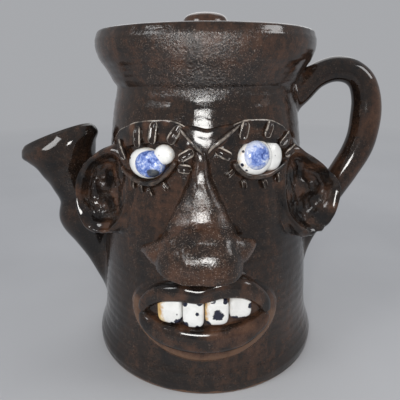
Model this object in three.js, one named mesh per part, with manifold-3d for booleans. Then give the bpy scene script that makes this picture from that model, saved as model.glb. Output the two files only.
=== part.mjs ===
// Face coffee pot: a thrown stoneware jug with a drop-in lid, a flared spout, a pulled handle
// and a face of applied clay pieces. Millimetres, +Z up. The pot's axis is Z and it stands on
// z = 0. The face looks along -Y, the spout points to -X and the handle to +X.

import * as THREE from 'three';
import { mergeVertices } from 'three/addons/utils/BufferGeometryUtils.js';
import Module from 'manifold-3d';

const wasm = await Module();
wasm.setup();

// Fits
const seam = 0.3; // gap between an applied piece and what carries it
const lidClearance = 1.1; // round the lid, as fired clay needs
const weldDistance = 0.001; // points nearer than this are one

// Jug, outside
const footRadius = 78.2;
const footRound = 2.5;
const flareRadius = 79.5;
const flareHeight = 8;
const ankleRadius = 75.6;
const ankleHeight = 20;
const bellyRadius = 73;
const bellyHeight = 46;
const templeRadius = 61.8;
const templeHeight = 154;
const neckRadius = 57.2;
const neckHeight = 178.5;
const collarRadius = 68;
const collarRise = 28;
const lipRadius = 65.4;
const lipRise = 4.4;
const rimHeight = neckHeight + collarRise + lipRise;

// Jug, inside
const wallThickness = 5.5;
const floorThickness = 7;
const lipThickness = 5;
const galleryDrop = 16.5;
const galleryWidth = 8.6;

// Lid and its knob
const lidThickness = 4.6;
const lidCrown = 3.6;
const lidSkirtDepth = 8;
const lidSkirtThickness = 5;
const lidEdgeRound = 1.5;
const knobStemRadius = 7.6;
const knobStemHeight = 6.3;
const knobRadius = 14.2;
const knobHeadHeight = 13.2;

// Spout: where its mouth is, and its half widths on the way up
const spoutMouthReach = 100.6;
const spoutMouthHeight = 143.2;
const spoutMouthHalfLength = 27;
const spoutMouthHalfWidth = 22;
const spoutThroatReach = 91;
const spoutThroatHeight = 103;
const spoutThroatRadius = 13;
const spoutBellyReach = 88.5;
const spoutBellyHeight = 89.5;
const spoutBellyRadius = 17;
const spoutRootReach = 76.5;
const spoutRootHeight = 60;
const spoutRootRadius = 11.5;
const spoutTailReach = 66;
const spoutTailHeight = 31;
const spoutTailRadius = 9;
const spoutInletReach = 50;
const spoutInletHeight = 54;
const spoutInletRadius = 8;
const spoutWall = 4;
const spoutLipRise = 2.6;
const spoutLipRound = 2.4;

// Handle: where its rod runs and how thick it is
const handleRootReach = 52;
const handleRootHeight = 165;
const handleTopReach = 84;
const handleTopHeight = 188.5;
const handleOuterReach = 108.2;
const handleOuterHeight = 157;
const handleFootReach = 78.5;
const handleFootHeight = 87;
const handleTailReach = 70.8;
const handleTailHeight = 50;
const handleTopRadius = 8;
const handleGripRadius = 10;
const handleFootRadius = 9;
const handleTailRadius = 3;

// Ears: a cup on each side of the head
const earFacing = 32 * THREE.MathUtils.DEG2RAD;
const earBowlDepth = 7;
const earBowlSkin = 2.2; // clay over the wall inside the cup
const earCheekSkin = 3.8; // clay over the wall under the rim
const earRimRise = 5;
const earBackDepth = 11;
const earRidgeRise = 3.5;
const earForward = 38;
const leftEarReach = 61;
const leftEarHeight = 117.5;
const leftEarHalfWidth = 21.5;
const leftEarHalfHeight = 27;
const rightEarReach = 62.5;
const rightEarHeight = 118.5;
const rightEarHalfWidth = 22.5;
const rightEarHalfHeight = 30;

// Nose
const noseAcross = -3.4;
const noseTopHeight = 147;
const noseLength = 59.5;
const noseHalfWidth = 24;
const noseBridgeHalfWidth = 3.6;
const noseTipDepth = 21;
const noseBridgeDepth = 5;
const noseDroop = 11;
const leftWingAcross = -36;
const leftWingHeight = 88.5;
const rightWingAcross = 25;
const rightWingHeight = 95;
const wingRootRadius = 10.5;
const wingTipRadius = 2;
const wingRise = 7;

// Forehead pad between the eyes
const browAcross = 0;
const browHeight = 152;
const browHalfWidth = 15;
const browHalfHeight = 9.5;
const browRise = 3.2;

// Eyes
const leftEyeHalfWidth = 11.6;
const leftEyeHalfHeight = 8.5;
const rightEyeHalfWidth = 10.6;
const rightEyeHalfHeight = 10.4;
const eyeRise = 6.2;
const eyeSink = 3;
const leftIrisHalfWidth = 8.5;
const leftIrisHalfHeight = 7.5;
const rightIrisHalfWidth = 7.8;
const rightIrisHalfHeight = 8.1;
const irisRise = 1.3;
const leftEyeAcross = -34.8;
const leftEyeHeight = 138.8;
const leftIrisAcross = -31.6;
const leftIrisHeight = 139;
const leftWhiteAcross = -23.6;
const leftWhiteHeight = 143.4;
const leftWhiteRadius = 6.4;
const leftWhiteRise = 5;
const rightEyeAcross = 27.4;
const rightEyeHeight = 141.6;
const rightIrisAcross = 26.4;
const rightIrisHeight = 143.8;
const rightWhiteAcross = 38.6;
const rightWhiteHeight = 141;
const rightWhiteHalfWidth = 7.6;
const rightWhiteHalfHeight = 9;
const rightWhiteRise = 4.6;

// Eyelids: bands laid round the eyes. Their places are shares of the eye's half span
const eyeHalfSpan = 15;
const leftLidAcross = -28;
const leftLidHeight = 141;
const rightLidAcross = 30;
const rightLidHeight = 143;
const upperLidHalfWidth = 6.2;
const upperLidHalfThickness = 2.4;
const lowerLidHalfWidth = 1.8;
const lowerLidHalfThickness = 2.6;

// Lashes
const lashHalfWidth = 2.6;
const lashHalfThickness = 1.7;
const smallLashHalfWidth = 1.4;
const smallLashHalfThickness = 1.4;

// Mouth
const mouthAcross = -1.6;
const mouthHeight = 51;
const mouthPadHalfWidth = 47;
const mouthPadHalfHeight = 27;
const mouthPadDrop = 1.5;
const mouthPadRise = 3;
const mouthPadSink = 3;
const lipHalfSpan = 37;
const upperLipRise = 20;
const upperLipHalfHeight = 5.6;
const lowerLipDrop = 12;
const lowerLipHalfHeight = 8;
const lipCornerRadius = 2.6;
const lipHalfDepth = 6.4;
const lipProud = 3;

// Teeth
const toothTopHeight = 65;
const toothRise = 6.4;
const toothGap = 0.8;
const teethMiddleAcross = -1.2;
const outerLeftToothWidth = 14.4;
const outerLeftToothLength = 17;
const innerLeftToothWidth = 12.2;
const innerLeftToothLength = 18.2;
const innerRightToothWidth = 13.4;
const innerRightToothLength = 16.6;
const outerRightToothWidth = 12.8;
const outerRightToothLength = 13.4;

// Facets
const jugFacets = 48;
const lidFacets = 32;
const rodFacets = 12;

const halfShare = 1 / 2;
const upright = new THREE.Vector3(0, 0, 1);

// Plain meshes

// Copies of a point become one point, and triangles that this folds to a line go
function welded(geometry) {
  geometry.deleteAttribute('normal');
  geometry.deleteAttribute('uv');
  const merged = mergeVertices(geometry, weldDistance);
  const kept = [];
  const corners = merged.index.array;
  for (let i = 0; i < corners.length; i += 3) {
    const [a, b, c] = [corners[i], corners[i + 1], corners[i + 2]];
    if (a !== b && b !== c && c !== a) kept.push(a, b, c);
  }
  merged.setIndex(kept);
  return merged;
}

// Moves every point of a net to the place that a function gives for it
function reshaped(net, shaper) {
  const place = net.attributes.position;
  const point = new THREE.Vector3();
  for (let i = 0; i < place.count; i += 1) {
    point.fromBufferAttribute(place, i);
    const moved = shaper(point.clone());
    place.setXYZ(i, moved.x, moved.y, moved.z);
  }
  return facingOut(net);
}

// Turns the triangles over where they face inward
function facingOut(net) {
  const place = net.attributes.position;
  const corners = net.index.array;
  const [a, b, c] = [new THREE.Vector3(), new THREE.Vector3(), new THREE.Vector3()];
  let volume = 0;
  for (let i = 0; i < corners.length; i += 3) {
    a.fromBufferAttribute(place, corners[i]);
    b.fromBufferAttribute(place, corners[i + 1]);
    c.fromBufferAttribute(place, corners[i + 2]);
    volume += a.dot(b.cross(c));
  }
  if (volume > 0) return net;
  const turned = [];
  for (let i = 0; i < corners.length; i += 3) turned.push(corners[i], corners[i + 2], corners[i + 1]);
  net.setIndex(turned);
  return net;
}

// The same mesh with its skin moved out by a distance
function grown(net, distance) {
  const copy = net.clone();
  copy.computeVertexNormals();
  const place = copy.attributes.position;
  const normal = copy.attributes.normal;
  for (let i = 0; i < place.count; i += 1) {
    place.setXYZ(
      i,
      place.getX(i) + normal.getX(i) * distance,
      place.getY(i) + normal.getY(i) * distance,
      place.getZ(i) + normal.getZ(i) * distance,
    );
  }
  copy.deleteAttribute('normal');
  return copy;
}

// A closed mesh as a solid that can be joined and cut
function solidOf(net) {
  const vertProperties = new Float32Array(net.attributes.position.array);
  const triVerts = new Uint32Array(net.index.array);
  return new wasm.Manifold(new wasm.Mesh({ numProp: 3, vertProperties, triVerts }));
}

// A cut can leave crumbs beside the piece: only the piece is kept
function mainPart(solid) {
  const parts = solid.decompose();
  return parts.reduce((best, part) => (part.volume() > best.volume() ? part : best));
}

function meshOf(name, solid, material) {
  const { vertProperties, triVerts } = solid.getMesh();
  const geometry = new THREE.BufferGeometry();
  geometry.setAttribute('position', new THREE.BufferAttribute(vertProperties, 3));
  geometry.setIndex(new THREE.BufferAttribute(triVerts, 1));
  geometry.computeVertexNormals();
  const mesh = new THREE.Mesh(geometry, material);
  mesh.name = name;
  return mesh;
}

// Forms

// A profile of [radius, height] points turned round the pot's axis
function turned(profile, facets) {
  const points = profile.map(([radius, height]) => new THREE.Vector2(radius, height));
  const net = welded(new THREE.LatheGeometry(points, facets));
  net.rotateX(Math.PI * halfShare);
  return facingOut(net);
}

// A rod of changing oval section. Stations give its centre line and its half sizes there, and
// facing gives the way that the second half size points
function rod({ centres, halves, facing, around, steps }) {
  const line = new THREE.CatmullRomCurve3(centres);
  const oval = new THREE.CatmullRomCurve3(halves.map(([wide, deep]) => new THREE.Vector3(wide, deep, 0)));
  const along = steps * (centres.length - 1);
  const net = welded(new THREE.CylinderGeometry(1, 1, 1, around, along));
  return reshaped(net, (unit) => {
    const share = unit.y + halfShare;
    const ahead = line.getTangent(share);
    const centre = line.getPoint(share);
    const out = facing(centre);
    out.addScaledVector(ahead, -out.dot(ahead)).normalize();
    const side = new THREE.Vector3().crossVectors(ahead, out);
    const half = oval.getPoint(share);
    return centre.addScaledVector(side, unit.x * half.x).addScaledVector(out, unit.z * half.y);
  });
}

// A number's power with its sign kept: under 1 it fills a round form out towards a box
const filled = (value, powerShare) => Math.sign(value) * Math.abs(value) ** powerShare;

// A ball's net read as a pad: the share of the reach, the way round and the front's share
function padShares(unit) {
  const reach = Math.hypot(unit.x, unit.z);
  const turn = Math.atan2(-unit.z, unit.x);
  return { reach, turn, front: unit.y };
}

// A cushion of clay on the wall with a crowned front, sunk a little into the wall behind
function wallPad({
  across,
  height,
  halfWidth,
  halfHeight,
  rise,
  sink,
  cornerShare = 1,
  crownShare = 1,
  facets,
}) {
  const net = welded(new THREE.SphereGeometry(1, ...facets));
  return reshaped(net, (unit) => {
    const { reach, turn, front } = padShares(unit);
    const spread = filled(reach, crownShare);
    const wide = filled(Math.cos(turn), cornerShare) * halfWidth * spread;
    const high = filled(Math.sin(turn), cornerShare) * halfHeight * spread;
    const proud = filled(front, crownShare) * (front > 0 ? rise : sink);
    return onWall(across + wide, height + high, proud);
  });
}

// Jug

// Outside of the wall from the foot to the lip, as [radius, height]
function outsideProfile() {
  const ankle = [ankleRadius, ankleHeight];
  const belly = [bellyRadius, bellyHeight];
  const temple = [templeRadius, templeHeight];
  const neck = [neckRadius, neckHeight];
  const ankleBend = [(flareRadius + ankleRadius) * halfShare, (flareHeight + ankleHeight) * halfShare];
  const calf = between(ankle, belly, calfShares);
  const chin = between(belly, temple, chinShares);
  const cheek = between(belly, temple, cheekShares);
  const throat = between(temple, neck, throatShares);
  const collar = collarShares.map(([out, up]) => [
    neckRadius + out * (collarRadius - neckRadius),
    neckHeight + up * collarRise,
  ]);
  return [
    [footRadius, 0],
    [flareRadius, footRound],
    [flareRadius, flareHeight],
    ankleBend,
    ankle,
    calf,
    belly,
    chin,
    cheek,
    temple,
    throat,
    neck,
    ...collar,
  ];
}

// A point part of the way from one profile point to another, as [radius share, height share]
function between([radiusA, heightA], [radiusB, heightB], [out, up]) {
  return [radiusA + out * (radiusB - radiusA), heightA + up * (heightB - heightA)];
}

const calfShares = [0.68, 0.42];
const chinShares = [0.16, 0.22];
const cheekShares = [0.58, 0.64];
const throatShares = [0.5, 0.56];
const collarShares = [[0.2, 0.12], [0.44, 0.3], [0.72, 0.52], [0.92, 0.76], [1, 1]];
const wall = outsideProfile();

// Radius of the wall's outside at a height
function wallRadius(height) {
  const above = wall.findIndex(([, level]) => level > height);
  if (above === -1) return wall[wall.length - 1][0];
  if (above === 0) return wall[0][0];
  const [lower, upper] = [wall[above - 1], wall[above]];
  const share = (height - lower[1]) / (upper[1] - lower[1]);
  return THREE.MathUtils.lerp(lower[0], upper[0], share);
}

// Place on the wall: millimetres round from the front line, height, and distance off the wall
function onWall(across, height, proud) {
  const radius = wallRadius(height);
  const turn = across / radius;
  const reach = radius + proud;
  return new THREE.Vector3(reach * Math.sin(turn), -reach * Math.cos(turn), height);
}

const awayFromAxis = (point) => new THREE.Vector3(point.x, point.y, 0).normalize();

const lipRoundShares = { out: 0.2, down: 0.25 };
const lipOutside = [
  (collarRadius + lipRadius) * halfShare + lipRise * lipRoundShares.out,
  rimHeight - lipRise * lipRoundShares.down,
];
const galleryHeight = rimHeight - galleryDrop;
const throatRadius = neckRadius - wallThickness;
const galleryRadius = throatRadius + galleryWidth;

function jugProfile() {
  const inside = wall
    .filter(([, level]) => level > floorThickness + ankleHeight && level < neckHeight)
    .map(([radius, level]) => [radius - wallThickness, level])
    .reverse();
  const floorRadius = ankleRadius - wallThickness;
  return [
    [0, 0],
    ...wall,
    lipOutside,
    [lipRadius, rimHeight],
    [lipRadius - lipThickness * halfShare, rimHeight - lipRise * lipRoundShares.down],
    [galleryRadius + lidClearance, rimHeight - lipRise],
    [galleryRadius, galleryHeight],
    [throatRadius, galleryHeight],
    [throatRadius, neckHeight],
    ...inside,
    [floorRadius, floorThickness + floorRound],
    [floorRadius - floorRound, floorThickness],
    [0, floorThickness],
  ];
}

const floorRound = 9;

// The jug as if it were full: what every applied piece is cut to fit
function fullJug() {
  return turned([[0, 0], ...wall, lipOutside, [lipRadius, rimHeight], [0, rimHeight]], jugFacets);
}

// Lid

const lidRadius = galleryRadius - lidClearance;
const lidUnderside = galleryHeight + seam;
const lidTop = lidUnderside + lidThickness;
const knobFoot = lidTop + lidCrown;

function lidForm() {
  const skirtRadius = throatRadius - lidClearance;
  const skirtInside = skirtRadius - lidSkirtThickness;
  const skirtFoot = lidUnderside - lidSkirtDepth;
  return turned([
    [0, lidUnderside + lidCrown],
    [knobRadius, lidUnderside + lidCrown],
    [skirtInside, lidUnderside],
    [skirtInside, skirtFoot],
    [skirtRadius - lidEdgeRound, skirtFoot],
    [skirtRadius, skirtFoot + lidEdgeRound],
    [skirtRadius, lidUnderside],
    [lidRadius, lidUnderside],
    [lidRadius, lidTop - lidEdgeRound],
    [lidRadius - lidEdgeRound, lidTop],
    [(lidRadius + knobRadius) * halfShare, lidTop + lidCrown * halfShare],
    [knobRadius, knobFoot],
    [0, knobFoot],
  ], lidFacets);
}

// Head of the knob as shares of its radius and its height: a flattened dome
const knobHeadShares = [[0.62, 0.1], [0.92, 0.28], [1, 0.44], [0.97, 0.62], [0.84, 0.8], [0.5, 0.95]];

// The stem is straight for this share of its height, then it spreads to the head
const stemStraightShare = 0.36;

function knobForm() {
  const headFoot = knobFoot + knobStemHeight;
  const head = knobHeadShares.map(([out, up]) => [knobRadius * out, headFoot + knobHeadHeight * up]);
  return turned([
    [0, knobFoot + seam],
    [knobStemRadius, knobFoot + seam],
    [knobStemRadius, knobFoot + knobStemHeight * stemStraightShare],
    ...head,
    [0, headFoot + knobHeadHeight],
  ], knobFacets);
}

const knobFacets = 20;

// Spout

// Stations are [reach out from the axis, height, half length, half width]
const spoutTail = [spoutTailReach, spoutTailHeight, spoutTailRadius, spoutTailRadius];
const spoutRoot = [spoutRootReach, spoutRootHeight, spoutRootRadius, spoutRootRadius];
const spoutBelly = [spoutBellyReach, spoutBellyHeight, spoutBellyRadius, spoutBellyRadius];
const spoutThroat = [spoutThroatReach, spoutThroatHeight, spoutThroatRadius, spoutThroatRadius];
const spoutMouth = [spoutMouthReach, spoutMouthHeight, spoutMouthHalfLength, spoutMouthHalfWidth];
const spoutInlet = [spoutInletReach, spoutInletHeight, spoutInletRadius, spoutInletRadius];
const trumpetShares = [[0.36, 0.16], [0.76, 0.55]];

// A station part of the way to the next: its place by one share and its size by another
function partWay(from, to, [placeShare, sizeShare]) {
  return from.map((value, i) => THREE.MathUtils.lerp(value, to[i], i < 2 ? placeShare : sizeShare));
}

const thinner = ([reach, height, long, wide], less) => [reach, height, long - less, wide - less];

// The mouth's station moved on along the spout's own lean
function pastMouth(distance) {
  const lean = new THREE.Vector2(spoutMouthReach - spoutThroatReach, spoutMouthHeight - spoutThroatHeight);
  lean.setLength(distance);
  return [spoutMouthReach + lean.x, spoutMouthHeight + lean.y, spoutMouthHalfLength, spoutMouthHalfWidth];
}

function spoutRod(stations, around, steps) {
  return rod({
    centres: stations.map(([reach, height]) => new THREE.Vector3(-reach, 0, height)),
    halves: stations.map(([, , long, wide]) => [long, wide]),
    facing: () => new THREE.Vector3(0, 1, 0),
    around,
    steps,
  });
}

function spoutOutside() {
  return spoutRod([
    spoutTail,
    partWay(spoutTail, spoutRoot, [halfShare, halfShare]),
    spoutRoot,
    partWay(spoutRoot, spoutBelly, [halfShare, halfShare]),
    spoutBelly,
    spoutThroat,
    ...trumpetShares.map((shares) => partWay(spoutThroat, spoutMouth, shares)),
    spoutMouth,
    thinner(pastMouth(spoutLipRise), spoutLipRound),
  ], spoutFacets, 1);
}

// The way through the spout, from inside the jug to past the mouth
function spoutBore() {
  return spoutRod([
    spoutInlet,
    thinner(spoutRoot, spoutWall),
    partWay(thinner(spoutRoot, spoutWall), thinner(spoutBelly, spoutWall), [halfShare, halfShare]),
    thinner(spoutBelly, spoutWall),
    thinner(spoutThroat, spoutWall),
    ...trumpetShares.map((shares) => thinner(partWay(spoutThroat, spoutMouth, shares), spoutWall)),
    thinner(spoutMouth, spoutWall),
    thinner(pastMouth(spoutLipRise + spoutWall), spoutWall - spoutLipRise),
  ], rodFacets, 1);
}

const spoutFacets = 18;

// Handle

const handleRoot = [handleRootReach, handleRootHeight, handleFootRadius];
const handleTop = [handleTopReach, handleTopHeight, handleTopRadius];
const handleOuter = [handleOuterReach, handleOuterHeight, handleGripRadius];
const handleFoot = [handleFootReach, handleFootHeight, handleFootRadius];
const handleTail = [handleTailReach, handleTailHeight, handleTailRadius];

// Bends between the named stations, as [reach share, height share]
const handleRiseShares = [[0.28, 0.36], [0.62, 0.81]];
const handleTurnShares = [[0.45, 0.04], [0.76, 0.22], [0.94, 0.56]];
const handleFallShares = [[0.03, 0.17], [0.155, 0.34], [0.34, 0.5], [0.56, 0.66], [0.8, 0.84]];
const handleFadeShares = [[0.65, 0.4]];

// Stations of one stretch, without its last
function stretch(from, to, bendShares) {
  const bends = bendShares.map(([out, up]) => [
    THREE.MathUtils.lerp(from[0], to[0], out),
    THREE.MathUtils.lerp(from[1], to[1], up),
    THREE.MathUtils.lerp(from[2], to[2], up),
  ]);
  return [from, ...bends];
}

function handleForm() {
  const stations = [
    ...stretch(handleRoot, handleTop, handleRiseShares),
    ...stretch(handleTop, handleOuter, handleTurnShares),
    ...stretch(handleOuter, handleFoot, handleFallShares),
    ...stretch(handleFoot, handleTail, handleFadeShares),
    handleTail,
  ];
  return rod({
    centres: stations.map(([reach, height]) => new THREE.Vector3(reach, 0, height)),
    halves: stations.map(([, , radius]) => [radius, radius]),
    facing: () => new THREE.Vector3(0, 1, 0),
    around: rodFacets,
    steps: 2,
  });
}

// Ears

// Rings of an ear from the middle of its bowl over the rim to the middle of its back, as
// [reach share, bowl share, rim share, back share]
const earRingShares = [
  [0, 1, 0, 0],
  [0.24, 1, 0, 0],
  [0.44, 0.95, 0, 0],
  [0.6, 0.66, 0.1, 0],
  [0.74, 0.2, 0.6, 0],
  [0.86, 0, 1, 0],
  [0.96, 0, 0.6, 0],
  [1, 0, 0, 0.1],
  [0.92, 0, 0, 0.5],
  [0.62, 0, 0, 0.9],
  [0, 0, 0, 1],
];

// The inner side of the rim sinks into the cheek, and a ridge crosses the bowl
const earInnerRimShare = 0.25;
const earRidgeShares = { level: 0.02, breadth: 0.24, reach: 0.7 };

// Outlines round the ear's middle, as shares of its half width and half height, from its outer
// side over the top
const leftEarShares = [
  [0.98, 0], [0.93, 0.42], [0.72, 0.8], [0.25, 0.98], [-0.3, 0.96], [-0.75, 0.62],
  [-0.9, 0.1], [-0.78, -0.45], [-0.5, -0.86], [0, -1], [0.5, -0.84], [0.86, -0.42],
];
const rightEarShares = [
  [1, 0.02], [0.9, 0.42], [0.6, 0.76], [0.16, 0.92], [-0.4, 1], [-0.85, 0.7],
  [-1, 0.15], [-0.9, -0.4], [-0.6, -0.8], [-0.08, -1], [0.45, -0.72], [0.84, -0.32],
];

function earForm({ side, reach, height, halfWidth, halfHeight, outlineShares }) {
  const outline = new THREE.CatmullRomCurve3(
    outlineShares.map(([out, up]) => new THREE.Vector3(out * halfWidth, up * halfHeight, 0)),
    true,
  );
  const middle = new THREE.Vector3(side * reach, -earForward, height);
  const face = new THREE.Vector3(side * Math.sin(earFacing), -Math.cos(earFacing), 0);
  const outward = new THREE.Vector3(side * Math.cos(earFacing), Math.sin(earFacing), 0);
  const rings = earRingShares.length - 1;
  const net = welded(new THREE.SphereGeometry(1, earFacets, rings));
  return reshaped(net, (unit) => {
    const { turn } = padShares(unit);
    const ring = Math.round((Math.acos(THREE.MathUtils.clamp(unit.y, -1, 1)) / Math.PI) * rings);
    const [spread, bowl, rim, back] = earRingShares[ring];
    const edge = outline.getPoint(THREE.MathUtils.euclideanModulo(turn / (2 * Math.PI), 1));
    const inner = (1 - Math.cos(turn)) * halfShare;
    const rimRise = earRimRise * THREE.MathUtils.lerp(1, earInnerRimShare, inner);
    const level = (edge.y * spread) / halfHeight - earRidgeShares.level;
    const crossed = Math.exp(-((level / earRidgeShares.breadth) ** 2)) * (bowl > 0 ? 1 : 0);
    const ridge = spread < earRidgeShares.reach ? earRidgeRise * crossed : 0;
    const lift = rim * rimRise + ridge - bowl * earBowlDepth - back * earBackDepth;
    const point = middle
      .clone()
      .addScaledVector(outward, edge.x * spread)
      .addScaledVector(upright, edge.y * spread)
      .addScaledVector(face, lift);
    return back > 0 ? point : offTheWall(point, THREE.MathUtils.lerp(earBowlSkin, earCheekSkin, rim));
  });
}

// Pushes a point out from the axis until it stands at least a given distance off the wall
function offTheWall(point, least) {
  const needed = wallRadius(point.z) + least;
  const reach = Math.hypot(point.x, point.y);
  if (reach >= needed) return point;
  return new THREE.Vector3((point.x / reach) * needed, (point.y / reach) * needed, point.z);
}

const earFacets = 22;

// Nose

// Stations down the nose: share of its length, of its droop, of its half width and of its depth
const noseShares = [
  [0, -0.1, 0, 0],
  [0.2, 0.08, 0.05, 0.1],
  [0.42, 0.25, 0.3, 0.28],
  [0.64, 0.6, 0.66, 0.5],
  [0.83, 1, 0.92, 0.76],
  [1, 0.86, 1, 1],
];

function noseForm() {
  const stations = noseShares.map(([down, droop, wide, deep]) => ({
    centre: onWall(noseAcross, noseTopHeight - noseLength * down, noseDroop * droop),
    half: [
      THREE.MathUtils.lerp(noseBridgeHalfWidth, noseHalfWidth, wide),
      THREE.MathUtils.lerp(noseBridgeDepth, noseTipDepth, deep),
    ],
  }));
  return rod({
    centres: stations.map(({ centre }) => centre),
    halves: stations.map(({ half }) => half),
    facing: awayFromAxis,
    around: noseFacets,
    steps: 2,
  });
}

// A nostril's wing: a pinched flap from the side of the nose out to its tip
function wingForm(tipAcross, tipHeight) {
  const rootAcross = THREE.MathUtils.lerp(noseAcross, tipAcross, wingRootShare);
  return rod({
    centres: [
      onWall(rootAcross, tipHeight, noseDroop * halfShare),
      onWall(THREE.MathUtils.lerp(rootAcross, tipAcross, halfShare), tipHeight, wingRise),
      onWall(tipAcross, tipHeight, wingRise * halfShare),
    ],
    halves: [
      [wingRootRadius, wingRootRadius],
      [wingRootRadius * wingMiddleShare, wingRootRadius * wingMiddleShare],
      [wingTipRadius * halfShare, wingTipRadius * halfShare],
    ],
    facing: awayFromAxis,
    around: bandFacets,
    steps: 2,
  });
}

const wingRootShare = 0.48;
const wingMiddleShare = 0.48;
const noseFacets = 16;

// Forehead

// Outline of the pad between the eyes, as shares of its half width and half height
const browShares = [
  [1, 0.9], [0.5, 0.86], [0, 0.7], [-0.5, 0.86], [-1, 0.75],
  [-0.72, 0.1], [-0.34, -0.6], [0, -1], [0.34, -0.6], [0.74, 0.1],
];

function browForm() {
  const outline = new THREE.CatmullRomCurve3(
    browShares.map(([out, up]) => new THREE.Vector3(out * browHalfWidth, up * browHalfHeight, 0)),
    true,
  );
  const net = welded(new THREE.SphereGeometry(1, 2 * browShares.length, padRings));
  return reshaped(net, (unit) => {
    const { reach, turn, front } = padShares(unit);
    const edge = outline.getPoint(THREE.MathUtils.euclideanModulo(turn / (2 * Math.PI), 1));
    const spread = filled(reach, padCrownShare);
    const proud = filled(front, padCrownShare) * browRise;
    return onWall(browAcross + edge.x * spread, browHeight + edge.y * spread, proud);
  });
}

const padRings = 6;
const padFacets = 20;
const padCrownShare = 0.6;

// Eyes

function eyeBall(across, height, halfWidth, halfHeight) {
  return wallPad({
    across,
    height,
    halfWidth,
    halfHeight,
    rise: eyeRise,
    sink: eyeSink,
    facets: [padFacets, padRings],
  });
}

// The iris is a thin round slip of clay pressed on the ball, crowned as the ball is
function irisForm(across, height, halfWidth, halfHeight) {
  return wallPad({
    across,
    height,
    halfWidth,
    halfHeight,
    rise: eyeRise + irisRise,
    sink: eyeSink,
    crownShare: irisCrownShare,
    facets: [slipFacets, padRings],
  });
}

const irisCrownShare = 0.55;
const slipFacets = 16;

function whiteForm(across, height, halfWidth, halfHeight, rise) {
  return wallPad({
    across,
    height,
    halfWidth,
    halfHeight,
    rise,
    sink: eyeSink,
    facets: [slipFacets, padRings],
  });
}

// Bands and rolls of clay laid on the wall

// Points are [across, height, proud]; the band is thickest in its middle
function wallBand({ points, halfWidth, halfThickness, endShare, around, steps }) {
  const last = points.length - 1;
  const thick = (i) => THREE.MathUtils.lerp(endShare, 1, Math.sin((Math.PI * i) / last) ** halfShare);
  return rod({
    centres: points.map(([across, height, proud]) => onWall(across, height, proud)),
    halves: points.map((point, i) => [halfWidth * thick(i), halfThickness * thick(i)]),
    facing: awayFromAxis,
    around,
    steps,
  });
}

// Middle lines of the lids from the left, as shares of the eye's half span: across and up
const lidShares = {
  left: {
    upper: [
      [-2.35, 0.05], [-1.79, 0.56], [-0.87, 0.9], [-0.09, 1.02], [0.6, 1.04], [1.13, 0.82], [1.5, 0.46],
    ],
    lower: [
      [-1.75, -0.48], [-1.42, -0.68], [-0.98, -0.86], [-0.44, -0.97], [0.1, -0.8], [0.53, -0.38], [0.8, 0],
    ],
  },
  right: {
    upper: [
      [-1.69, 0.4], [-1.35, 0.65], [-0.8, 0.87], [-0.1, 0.92], [0.64, 0.78], [1.3, 0.41], [1.66, -0.04],
    ],
    lower: [
      [-1.05, -0.18], [-0.88, -0.47], [-0.54, -0.74], [-0.1, -0.82], [0.36, -0.8], [0.93, -0.58],
      [1.36, -0.36],
    ],
  },
};

// Roots and tips of the lashes in the same shares: root across and up, tip across and up
const upperLashShares = {
  left: [
    ['outer', -1.4, -0.1, -1.92, 0.58],
    ['middle_outer', -0.68, 0.42, -0.74, 1.2],
    ['middle_inner', -0.06, 0.6, 0.02, 1.4],
    ['inner', 0.6, 0.66, 0.94, 1.28],
    ['corner_upper', 0.94, 0.14, 1.4, 0.42],
    ['corner_lower', 0.88, -0.16, 1.34, -0.24],
  ],
  right: [
    ['corner', -1.17, 0.06, -1.7, 0.34],
    ['inner', -0.82, 0.66, -0.64, 1.28],
    ['middle_outer', 0.12, 0.7, 0.4, 1.22],
    ['outer', 0.82, 0.36, 1.46, 0.74],
    ['corner_outer', 1.1, -0.06, 1.95, 0.17],
  ],
};
const lowerLashShares = {
  left: [
    ['outer', -1.08, -0.84, -1.14, -1.2],
    ['middle_outer', -0.7, -0.92, -0.68, -1.28],
    ['middle_inner', -0.35, -1.02, -0.25, -1.36],
    ['inner', 0.24, -0.78, 0.44, -1.06],
  ],
  right: [
    ['inner', -1.05, -0.42, -1.32, -0.66],
    ['middle_inner', -0.7, -0.78, -0.62, -1.14],
    ['middle_outer', 0.14, -0.88, 0.3, -1.24],
    ['outer', 0.88, -0.72, 1, -1.1],
  ],
};

// A place by an eye: across and height on the wall from shares of the eye's half span
function byEye({ across, height }, [out, up], proud) {
  return [across + eyeHalfSpan * out, height + eyeHalfSpan * up, proud];
}

function lidBand(eye, middleShares, halfWidth, halfThickness) {
  return wallBand({
    points: middleShares.map((shares) => byEye(eye, shares, halfThickness * halfShare)),
    halfWidth,
    halfThickness,
    endShare: lidEndShare,
    around: bandFacets,
    steps: 2,
  });
}

const lidEndShare = 0.7;

// A lash is a flattened roll that rises a little from its root and lies down again at its tip
function lashForm(eye, [rootOut, rootUp, tipOut, tipUp], halfWidth, halfThickness, proud) {
  const points = lashRiseShares.map(([along, lift]) => {
    const out = THREE.MathUtils.lerp(rootOut, tipOut, along);
    const up = THREE.MathUtils.lerp(rootUp, tipUp, along);
    return byEye(eye, [out, up], proud + halfThickness * lift);
  });
  return wallBand({
    points,
    halfWidth,
    halfThickness,
    endShare: lashEndShare,
    around: bandFacets,
    steps: 1,
  });
}

const lashRiseShares = [[0, 0], [0.2, 0.4], [0.5, 0.5], [0.8, 0.4], [1, 0]];
const lashEndShare = 0.4;
const bandFacets = 8;

// Mouth

function mouthPadForm() {
  return wallPad({
    across: mouthAcross,
    height: mouthHeight - mouthPadDrop,
    halfWidth: mouthPadHalfWidth,
    halfHeight: mouthPadHalfHeight,
    rise: mouthPadRise,
    sink: mouthPadSink,
    crownShare: mouthPadCrownShare,
    facets: [mouthPadFacets, mouthPadRings],
  });
}

const mouthPadCrownShare = 0.5;
const mouthPadFacets = 24;
const mouthPadRings = 8;

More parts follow.
